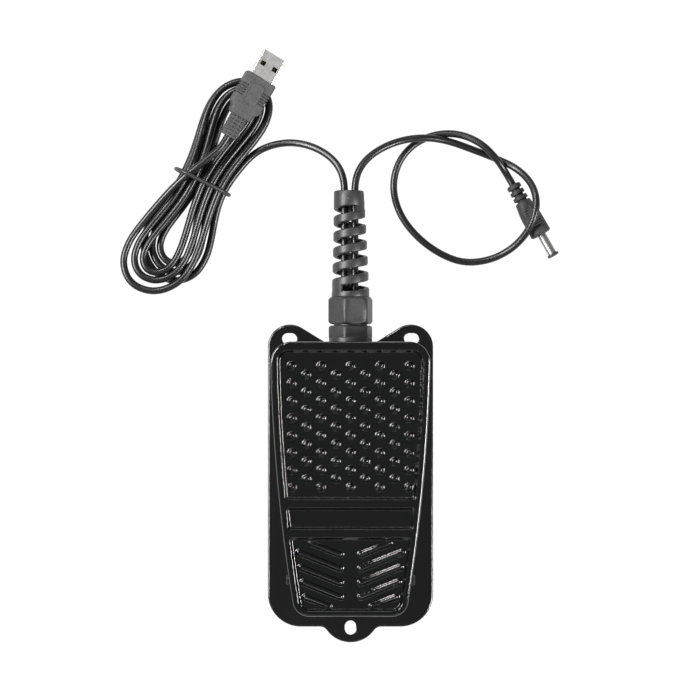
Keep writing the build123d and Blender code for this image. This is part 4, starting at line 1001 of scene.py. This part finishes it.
# Inner leads
# Both cords run on through the gland, side by side, to a saddle clamp on the chassis floor. Two
# thin wires go from there to the switch.

cord_thickness = 3.5 * mm
wire_thickness = 1.3 * mm
usb_exit = (-0.0029, 0.1405, 0.0150)
dc_exit = (0.0021, 0.1405, 0.0150)


def cord_line(name, route, thickness, finish, closed=False):
    """A cord on one smooth spline, with the route as its control points."""
    curve = bpy.data.curves.new(name, "CURVE")
    curve.dimensions = "3D"
    curve.bevel_depth = thickness / 2
    curve.bevel_resolution = 5
    curve.resolution_u = 6
    curve.use_fill_caps = not closed
    spline = curve.splines.new("NURBS")
    spline.points.add(len(route) - 1)
    for point, spot in zip(spline.points, route):
        point.co = (*spot, 1)
    spline.order_u = 3
    spline.use_endpoint_u = not closed
    spline.use_cyclic_u = closed
    return fitted(name, curve, finish)


jacket = Finish("cord_jacket")
jacket_grain = jacket.noise(0.8 * mm)
jacket_cloud = jacket.noise(12 * mm)
jacket.feed("Base Color", jacket.blend(jacket_cloud, (0.003, 0.003, 0.0032), (0.007, 0.007, 0.0073)))
jacket.feed("Roughness", 0.28 + jacket_cloud * 0.06 + jacket_grain * 0.03)
jacket.relief(jacket_grain, 0.003 * mm)

for name, exit_spot, side in (("usb_inner_lead", usb_exit, -1), ("dc_inner_lead", dc_exit, 1)):
    inner_route = [(exit_spot[0], y, gland_z) for y in (exit_spot[1], 0.110, 0.080, 0.056)]
    inner_route += [
        (side * 0.0032, 0.0470, 0.0112), (side * 0.0030, 0.0395, 0.0069), (side * 0.0030, 0.0270, 0.0069),
    ]
    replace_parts(cord_line(name + "_jacket", inner_route, cord_thickness, jacket), name)
dress(zinc, "cable_clamp", "clamp_screws")

wire_routes = [
    [
        (-0.0030, 0.0270, 0.0069), (-0.0032, 0.0170, 0.0069), (-0.0030, 0.0060, 0.0067),
        (-0.0024, -0.0040, 0.0063), (-0.0010, -0.0133, 0.0063), (-0.0007, -0.0206, 0.0063),
    ],
    [
        (0.0030, 0.0270, 0.0069), (0.0033, 0.0160, 0.0069), (0.0030, 0.0050, 0.0067),
        (0.0027, -0.0060, 0.0064), (0.0026, -0.0216, 0.0063), (0.0010, -0.0279, 0.0063),
    ],
]
wires = [
    cord_line(f"switch_wire_{index}", route, wire_thickness, jacket)
    for index, route in enumerate(wire_routes)
]
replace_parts(wires[0], "switch_wires")

# USB plug
# A moulded grip over the nickel-plated shell: narrow at the rear, grooved along both edges, with a
# framed bare flat on each face, and a gridded sleeve behind it that takes the cord's bending.

usb_tail = Vector((-0.0586, 0.1669, 0.0139))
usb_heading = 60.0
usb_roll = 15.0
usb_place = (
    Matrix.Translation(usb_tail) @ Matrix.Rotation(radians(usb_heading), 4, "Z")
    @ Matrix.Rotation(radians(usb_roll), 4, "X")
)
sleeve_length = 10.7 * mm
sleeve_width = 8.4 * mm
sleeve_taper = 0.06
sleeve_thickness = 6 * mm
sleeve_corner = 1.1 * mm
sleeve_face_edge = 0.6 * mm
sleeve_ribs = 6
rib_steps = 12
rib_groove_opens = (0.42, 0.54)
rib_groove_closes = (0.88, 1.0)
rib_side_depth = 0.12
rib_face_depth = 0.22
web_middle = 1.35 * mm
web_edge = (0.3 * mm, 0.5 * mm)
grip_length = 21 * mm
grip_end = sleeve_length + grip_length
grip_width = 15.8 * mm
grip_rear_width = 11.8 * mm
grip_swell = (sleeve_length + 2.8 * mm, sleeve_length + 5.4 * mm)
grip_thickness = 8 * mm
grip_corner = 1.3 * mm
grip_face_steps = 30
grip_rear_round = 0.7 * mm
grip_rear_shrink = 0.1
grip_front_round = 0.5 * mm
grip_front_shrink = 0.07
grip_grooves = 5
groove_pitch = 1.35 * mm
groove_edge = (0.2 * mm, 0.42 * mm)
groove_inner = 3.7 * mm
groove_inner_run = 0.4 * mm
groove_side_depth = 0.09
groove_face_depth = 0.2
first_groove = grip_end - 6 * mm
shell_width = 12 * mm
shell_thickness = 4.5 * mm
shell_recess = 2 * mm
flat_middle = grip_end - 8.9 * mm
flat_length = 11.5 * mm
flat_width = 7.2 * mm
flat_corner = 0.9 * mm
flat_frame = [
    (0, -0.5), (0, 0.1), (0.08, 0.2), (0.2, 0.25), (0.5, 0.25), (0.62, 0.2), (0.75, 0.02), (0.9, -0.02),
]


def box_loop(width, thickness, corner, across_steps=22, side_steps=6):
    """A rounded rectangle's loop with even points along its faces."""
    half, top = width / 2 - corner, thickness / 2 - corner
    spots = []
    for centre, start, run, count in (
        ((half, -top), -90, (0, 2 * top), side_steps),
        ((half, top), 0, (-2 * half, 0), across_steps),
        ((-half, top), 90, (0, -2 * top), side_steps),
        ((-half, -top), 180, (2 * half, 0), across_steps),
    ):
        spots += arc(centre, corner, start, start + 90, 18)
        x, y = spots[-1]
        spots += divided((x, y), (x + run[0], y + run[1]), count)[1:]
    return spots


def smooth(value, low, high):
    """A soft step from 0 to 1 between two values."""
    share = min(max((value - low) / (high - low), 0), 1)
    return share * share * (3 - 2 * share)


def sleeve(finish):
    """The gridded sleeve: ribs across, joined by webs along both faces."""
    shape = Shape()
    pitch = sleeve_length / sleeve_ribs
    face = sleeve_thickness / 2
    steps = rib_steps * sleeve_ribs
    rings = []
    for i in range(steps + 1):
        x = sleeve_length * i / steps
        phase = (x / pitch) % 1
        groove = smooth(phase, *rib_groove_opens) * (1 - smooth(phase, *rib_groove_closes))
        width = sleeve_width * (1 - sleeve_taper * (1 - i / steps))
        spots = []
        for a, b in box_loop(width, sleeve_thickness, sleeve_corner):
            web = 1 - smooth(abs(abs(a) - web_middle), *web_edge)
            on_face = smooth(abs(b), face - sleeve_corner, face - sleeve_face_edge)
            sink = groove * (1 - web * on_face)
            side_sink, face_sink = rib_side_depth * sink * (1 - on_face), rib_face_depth * sink * on_face
            spots.append((x, a * (1 - side_sink), b * (1 - face_sink)))
        rings.append(shape.ring(spots))
    shape.solid(rings)
    return shape.piece("usb_sleeve", finish, "overmould", sharp=50, place=usb_place)


def framed_flat(shape, side):
    """A raised frame round a bare flat on one face of the grip."""
    outline = rounded_loop(rectangle(flat_length / 2, flat_width / 2), [flat_corner] * 4, 15)
    rings = []
    for inset, height in flat_frame:
        level = side * (grip_thickness / 2 + height * mm)
        rings.append(shape.ring([(flat_middle + a, b, level) for a, b in grown(outline, -inset * mm)]))
    shape.solid(rings)


def grip(finish):
    """The moulded grip with grooves along each edge and a framed flat on each face."""
    shape = Shape()
    start = sleeve_length
    rear = [0, 0.25, 0.8, *(3.0 + 0.35 * i for i in range(12))]
    grooved = [rear[-1] + 0.15 * i for i in range(1, 92)]
    places = [start + x * mm for x in rear + grooved]
    places += [grip_end - x * mm for x in (0.3, 0.08, 0)]
    rings = []
    for x in places:
        width = grip_rear_width + (grip_width - grip_rear_width) * smooth(x, *grip_swell)
        gap = min(abs(x - first_groove + index * groove_pitch) for index in range(grip_grooves))
        groove = 1 - smooth(gap, *groove_edge)
        taper = 1 - grip_rear_shrink * (1 - smooth(x, start, start + grip_rear_round))
        taper *= 1 - grip_front_shrink * smooth(x, grip_end - grip_front_round, grip_end)
        inner = width / 2 - groove_inner
        spots = []
        for a, b in box_loop(width * taper, grip_thickness * taper, grip_corner, grip_face_steps):
            sink = groove * smooth(abs(a), inner, inner + groove_inner_run)
            spots.append((x, a * (1 - groove_side_depth * sink), b * (1 - groove_face_depth * sink)))
        rings.append(shape.ring(spots))
    wide, tall = max(abs(a) for _, a, _ in spots), max(abs(b) for _, _, b in spots)
    for x in (grip_end, grip_end - shell_recess):
        rings.append(shape.ring(
            [(x, a / wide * shell_width / 2, b / tall * shell_thickness / 2) for _, a, b in spots]
        ))
    shape.solid(rings)
    framed_flat(shape, 1)
    framed_flat(shape, -1)
    return shape.piece("usb_grip", finish, "overmould", sharp=50, place=usb_place)


mould_colours = ((0.006, 0.006, 0.0062), (0.112, 0.112, 0.114))
overmould = grained("plug_moulding", 0.8 * mm, 5 * mm, mould_colours, (0.5, 0.08, 0.14), 0.05 * mm, 0.2)
sleeve_piece = sleeve(overmould)
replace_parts(sleeve_piece, "usb_strain_relief")
grip_piece = grip(overmould)
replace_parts(grip_piece, "usb_plug_body")

tongue_colours = ((0.012, 0.012, 0.014), (0.022, 0.022, 0.025))
tongue = mottled("tongue_moulding", 1.0 * mm, 3.0, tongue_colours, (0.35, 0.15))
gold_colours = ((0.2, 0.15, 0.07), (0.3, 0.22, 0.11))
gold = mottled("gold_plate", 0.8 * mm, 3.0, gold_colours, (0.22, 0.15), metallic=1.0)
dress(nickel, "usb_plug_shell")
dress(tongue, "usb_plug_tongue")
dress(gold, "usb_plug_contacts")

# Long cord
# A round black cord, 3.5 mm thick, from the gland to a hank of five and a half turns tied at its
# waist, and over the bundle to the USB plug that lies on it.

hank_centre = (-0.0718, 0.1458)
hank_axis = 63.82
hank_pitch = 0.00422
hank_layer = 0.0040
hank_floor = 0.00015
hank_lobe = 0.0148
hank_top = 0.0460
hank_lower_reach = 0.0400
hank_upper_reach = 0.0480
hank_outer_reach = 0.0498
hank_top_lean = 0.0020
hank_lower_lean = 0.0035
hank_upper_lean = -0.0030
hank_turnback = 2.75
hank_start = -0.04
hank_end = 5.38
hank_points_per_turn = 26
hank_lift = 0.0020
hank_lift_reach = 0.0200
hank_lean_reach = 0.0500
hank_widening = (4.97, 5.03)
hank_climbing = 0.25
hank_step = 1e-4
usb_cord_lead = 0.0060


def hank_point(along, aside, height):
    """A place given along and across the hank's axis."""
    axis = radians(hank_axis)
    return (
        hank_centre[0] + along * cos(axis) + aside * sin(axis),
        hank_centre[1] + along * sin(axis) - aside * cos(axis),
        height,
    )


def hank_base(angle, bottom):
    """The loop that every turn of the hank grows from, drawn in at the tie."""
    reach = hank_top if sin(angle) < 0 else bottom
    return -reach * sin(angle), hank_lobe * cos(angle) * sin(angle) ** 2


def hank_place(turn):
    """The cord's centre in the hank: a spiral in and out again, in two layers."""
    angle = 2 * pi * turn
    lower = turn < hank_turnback
    bottom = hank_lower_reach if lower else hank_upper_reach
    bottom += (hank_outer_reach - hank_upper_reach) * smooth(turn, *hank_widening)
    along, aside = hank_base(angle, bottom)
    ahead, behind = hank_base(angle + hank_step, bottom), hank_base(angle - hank_step, bottom)
    run, drift = ahead[0] - behind[0], ahead[1] - behind[1]
    out = hank_pitch * abs(turn - hank_turnback) / hypot(run, drift)
    along, aside = along + out * drift, aside - out * run
    lean = hank_top_lean if along > 0 else (hank_lower_lean if lower else hank_upper_lean)
    aside += lean * (along / hank_lean_reach) ** 2
    climb = smooth(turn, hank_turnback - hank_climbing, hank_turnback + hank_climbing)
    lift = hank_lift * cos(pi / 2 * min(abs(along) / hank_lift_reach, 1)) ** 2
    return hank_point(along, aside, cord_thickness / 2 + hank_floor + hank_layer * climb + lift)


hank_count = round(hank_points_per_turn * (hank_end - hank_start))
hank_turns = [hank_start + (hank_end - hank_start) * i / hank_count for i in range(hank_count + 1)]
usb_run = Vector((cos(radians(usb_heading)), sin(radians(usb_heading)), 0))
usb_route = [
    usb_exit, (-0.0029, 0.1466, 0.0150), (-0.0074, 0.1554, 0.0124), (-0.0164, 0.1619, 0.0082),
    (-0.0272, 0.1650, 0.0044), (-0.0382, 0.1639, 0.0022), (-0.0474, 0.1594, 0.0020),
]
usb_route += [hank_place(turn) for turn in hank_turns]
usb_route += [
    hank_point(-0.0135, -0.0122, 0.0089), hank_point(-0.0040, -0.0086, 0.0120),
    hank_point(0.0055, -0.0039, 0.0136), hank_point(0.0143, 0.0003, 0.0140),
    tuple(usb_tail - usb_run * usb_cord_lead), tuple(usb_tail),
]
usb_cord = cord_line("usb_cord_jacket", usb_route, cord_thickness, jacket)
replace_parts(usb_cord, "usb_cord", "usb_hank", "usb_cord_end")

# Tie
# A thin steel wire in a round black plastic coat, bent round the waist of the hank and pulled
# closed, so that the turns stay together.

tie_thickness = 1.9 * mm
tie_level = cord_thickness / 2 + hank_floor + hank_lift
tie_reach = cord_thickness / 2 + 0.2 * mm + tie_thickness / 2
tie_right = hank_pitch * (hank_turnback - hank_start) + tie_reach - 0.2 * mm
tie_left = -hank_pitch * (hank_turnback - 0.5) - tie_reach - 1.0 * mm
tie_low = tie_level - tie_reach
tie_high = 13.1 * mm + tie_reach
tie_side_and_height = [
    (tie_left + 0.3 * mm, tie_low + 0.4 * mm), (tie_left + 3 * mm, tie_low), (0, tie_low),
    (tie_right - 3 * mm, tie_low), (tie_right, tie_low + 0.2 * mm),
    (tie_right + 0.2 * mm, tie_level + 2.4 * mm),
    (tie_right - 2.8 * mm, tie_level + hank_layer + tie_reach), (-2.0 * mm, tie_high - 0.6 * mm),
    (-4.5 * mm, tie_high + 0.2 * mm), (-9.6 * mm, tie_high + 0.2 * mm),
    (tie_left - 0.2 * mm, tie_level + 5.6 * mm), (tie_left - 0.2 * mm, tie_level),
]
tie_route = [hank_point(0, aside, height) for aside, height in tie_side_and_height]
tie_colours = ((0.012, 0.012, 0.012), (0.025, 0.025, 0.026))
tie_coat = mottled("tie_coating", 1.2 * mm, 3.0, tie_colours, (0.36, 0.2))
tie_piece = cord_line("hank_tie_wire", tie_route, tie_thickness, tie_coat, closed=True)
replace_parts(tie_piece, "hank_tie")

# Barrel plug
# A round moulded grip with three relief grooves at its tail and two ridged flats, over a nickel
# sleeve with a black lip at its mouth.

dc_tail = Vector((0.0785, 0.1442, 0.0036))
dc_heading = -60.6
dc_rise = 4.4
dc_place = (
    Matrix.Translation(dc_tail) @ Matrix.Rotation(radians(dc_heading), 4, "Z")
    @ Matrix.Rotation(radians(-dc_rise), 4, "Y")
)
dc_length = 27.6 * mm
dc_tail_radius = 3.5 * mm
dc_tail_round = 0.5 * mm
dc_front_radius = 5.15 * mm
dc_front_round = 0.8 * mm
dc_front_drop = 0.6 * mm
dc_swell = (6 * mm, 18 * mm)
dc_even_share = 0.25
dc_barrel_radius = 2.1 * mm
dc_sides = 48
dc_steps = 184
dc_groove_depth = 1.25 * mm
dc_groove_edge = (0.4 * mm, 0.65 * mm)
dc_grooves = (2.75 * mm, 5.75 * mm, 8.75 * mm)
dc_flat = (11.5 * mm, 24.5 * mm)
dc_flat_run = 1.5 * mm
dc_flat_level = 4.4 * mm
dc_flat_blend = 0.3 * mm
dc_ridge_pitch = 1.15 * mm
dc_ridge_depth = 0.25 * mm
dc_cord_lead = 0.0065


def dc_radius(x):
    """Radius of the grip along its length, with its tail grooves."""
    growth = dc_even_share * x / dc_length + (1 - dc_even_share) * smooth(x, *dc_swell)
    radius = dc_tail_radius + (dc_front_radius - dc_tail_radius) * growth
    for middle in dc_grooves:
        radius -= dc_groove_depth * (1 - smooth(abs(x - middle), *dc_groove_edge))
    radius -= dc_tail_round * (1 - smooth(x, 0, dc_tail_round))
    return radius - dc_front_drop * smooth(x, dc_length - dc_front_round, dc_length) ** 2


def dc_grip(finish):
    """The grip as rings, pressed flat on two sides, with fine ridges on the flats."""
    shape = Shape()
    turns = round_turns(dc_sides)
    start, end = dc_flat
    press = dc_flat_level - dc_flat_blend
    rings = []
    for i in range(dc_steps + 1):
        x = dc_length * i / dc_steps
        radius = dc_radius(x)
        flat = smooth(x, start, start + dc_flat_run) * (1 - smooth(x, end - dc_flat_run, end))
        ridge = dc_ridge_depth * (0.5 + 0.5 * cos(2 * pi * x / dc_ridge_pitch))
        spots = []
        for turn in turns:
            a, b = radius * cos(turn), radius * sin(turn)
            if abs(b) > press:
                level = (dc_flat_level - ridge) * (1 if b > 0 else -1)
                b += (level - b) * flat * smooth(abs(b), press, dc_flat_level)
            spots.append((x, a, b))
        rings.append(shape.ring(spots))
    mouth = [(dc_length, dc_barrel_radius * cos(turn), dc_barrel_radius * sin(turn)) for turn in turns]
    shape.solid(rings + [shape.ring(mouth)])
    return shape.piece("dc_grip", finish, "overmould", sharp=50, place=dc_place)


dc_colours = ((0.002, 0.002, 0.0021), (0.052, 0.052, 0.053))
dc_moulding = grained(
    "barrel_plug_moulding", 0.7 * mm, 5 * mm, dc_colours, (0.46, 0.08, 0.12), 0.04 * mm, 0.25
)
dc_grip_piece = dc_grip(dc_moulding)
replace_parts(dc_grip_piece, "dc_plug_body")

# The barrel sleeve gets a darker copy of the nickel plate. This is painted shade for its dim surroundings,
# not wear.
shaded_nickel_colours = ((0.26, 0.26, 0.255), (0.42, 0.415, 0.405))
shaded_nickel = mottled("shaded_nickel", 1.2 * mm, 4.0, shaded_nickel_colours, (0.36, 0.1), metallic=1.0)
dress(shaded_nickel, "dc_plug_barrel")
dress(tongue, "dc_plug_tip")

# Short cord
# The same round cord, in one open loop on the floor that passes over itself and over the barrel
# plug's grip, and ends in that plug.

dc_run = dc_place.to_3x3() @ Vector((1, 0, 0))
dc_route = [
    dc_exit, (0.0021, 0.1466, 0.0150), (0.0066, 0.1552, 0.0132), (0.0150, 0.1617, 0.0100),
    (0.0254, 0.1658, 0.0076), (0.0366, 0.1670, 0.0066), (0.0476, 0.1656, 0.0030), (0.0592, 0.1615, 0.0018),
    (0.0704, 0.1572, 0.0019), (0.0802, 0.1524, 0.0044), (0.0869, 0.1450, 0.0098), (0.0893, 0.1362, 0.0139),
    (0.0879, 0.1274, 0.0140), (0.0836, 0.1190, 0.0098), (0.0762, 0.1120, 0.0046), (0.0662, 0.1076, 0.0019),
    (0.0544, 0.1066, 0.0018), (0.0430, 0.1110, 0.0019), (0.0322, 0.1190, 0.0018), (0.0239, 0.1296, 0.0019),
    (0.0202, 0.1422, 0.0018), (0.0224, 0.1544, 0.0019), (0.0296, 0.1638, 0.0018), (0.0404, 0.1690, 0.0020),
    (0.0522, 0.1692, 0.0039), (0.0628, 0.1644, 0.0069), (0.0706, 0.1564, 0.0070),
]
dc_route += [tuple(dc_tail - dc_run * dc_cord_lead), tuple(dc_tail)]
dc_cord = cord_line("dc_cord_jacket", dc_route, cord_thickness, jacket)
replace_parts(dc_cord, "dc_cord")

# Studio
# A white floor that gives off plain light, narrow soft lights at both sides, the right one shorter
# and stronger, weak ones beyond both ends, a sky that darkens downwards, and a camera straight above.

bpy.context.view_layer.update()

floor_half = 8.0
paper = Finish("white_paper", specular=0.0)
for socket, value in (
    ("Base Color", (0, 0, 0, 1)), ("Roughness", 0.9),
    ("Emission Color", (1, 1, 1, 1)), ("Emission Strength", 1.06),
):
    paper.shader.inputs[socket].default_value = value
floor_mesh = bpy.data.meshes.new("floor")
floor_corners = [(x, y, 0) for x, y in rectangle(floor_half, floor_half)]
floor_mesh.from_pydata(floor_corners, [], [(0, 1, 2, 3)])
floor_mesh.materials.append(paper.material)
placed("floor", floor_mesh)

light_aim = Vector((0, 0.05, 0))


def soft_light(name, centre, along, length, width, strength):
    """A rectangular soft light that faces the pedal, its long side along a direction."""
    lamp = bpy.data.lights.new(name, "AREA")
    lamp.shape = "RECTANGLE"
    lamp.size = length
    lamp.size_y = width
    lamp.energy = strength * pi * length * width
    back = (Vector(centre) - light_aim).normalized()
    side = (Vector(along) - back * Vector(along).dot(back)).normalized()
    turn = Matrix((side, back.cross(side), back)).transposed().to_4x4()
    placed(name, lamp).matrix_world = Matrix.Translation(centre) @ turn


soft_light("left_light", (-0.80, 0.16, 0.80), (0.14, 0.99, 0.0), 0.8, 0.15, 60)
soft_light("upper_left_light", (-0.41, 0.76, 0.80), (0.87, 0.49, 0.0), 0.16, 0.14, 62)
soft_light("right_light", (0.85, -0.34, 0.76), (0.42, 0.91, 0.0), 0.5, 0.12, 92)
soft_light("toe_light", (0.0, 0.95, 0.80), (1, 0, 0), 0.5, 0.10, 10)
soft_light("heel_light", (0.0, -0.85, 0.80), (1, 0, 0), 0.6, 0.08, 4)

sky_greys = ((0.0, 0.05), (0.6, 0.15))
world = bpy.data.worlds.new("studio")
sky = Nodes(world, "Background")
sky_height = sky.node("ShaderNodeSeparateXYZ", None, {"Vector": sky.node("ShaderNodeTexCoord")}, "Z")
sky.feed("Color", sky.node("ShaderNodeValToRGB", {"stops": sky_greys}, {"Fac": sky_height}))
bpy.context.scene.world = world
bpy.context.scene.view_settings.view_transform = "Standard"
bpy.context.scene.view_settings.look = "None"

camera_data = bpy.data.cameras.new("camera")
camera_data.lens = 106.07
camera_data.sensor_width = 36
camera_data.clip_start = 0.01
camera_data.clip_end = 50
camera = placed("camera", camera_data)
camera.location = (-0.00024, 0.06453, 1.0)
bpy.context.scene.camera = camera
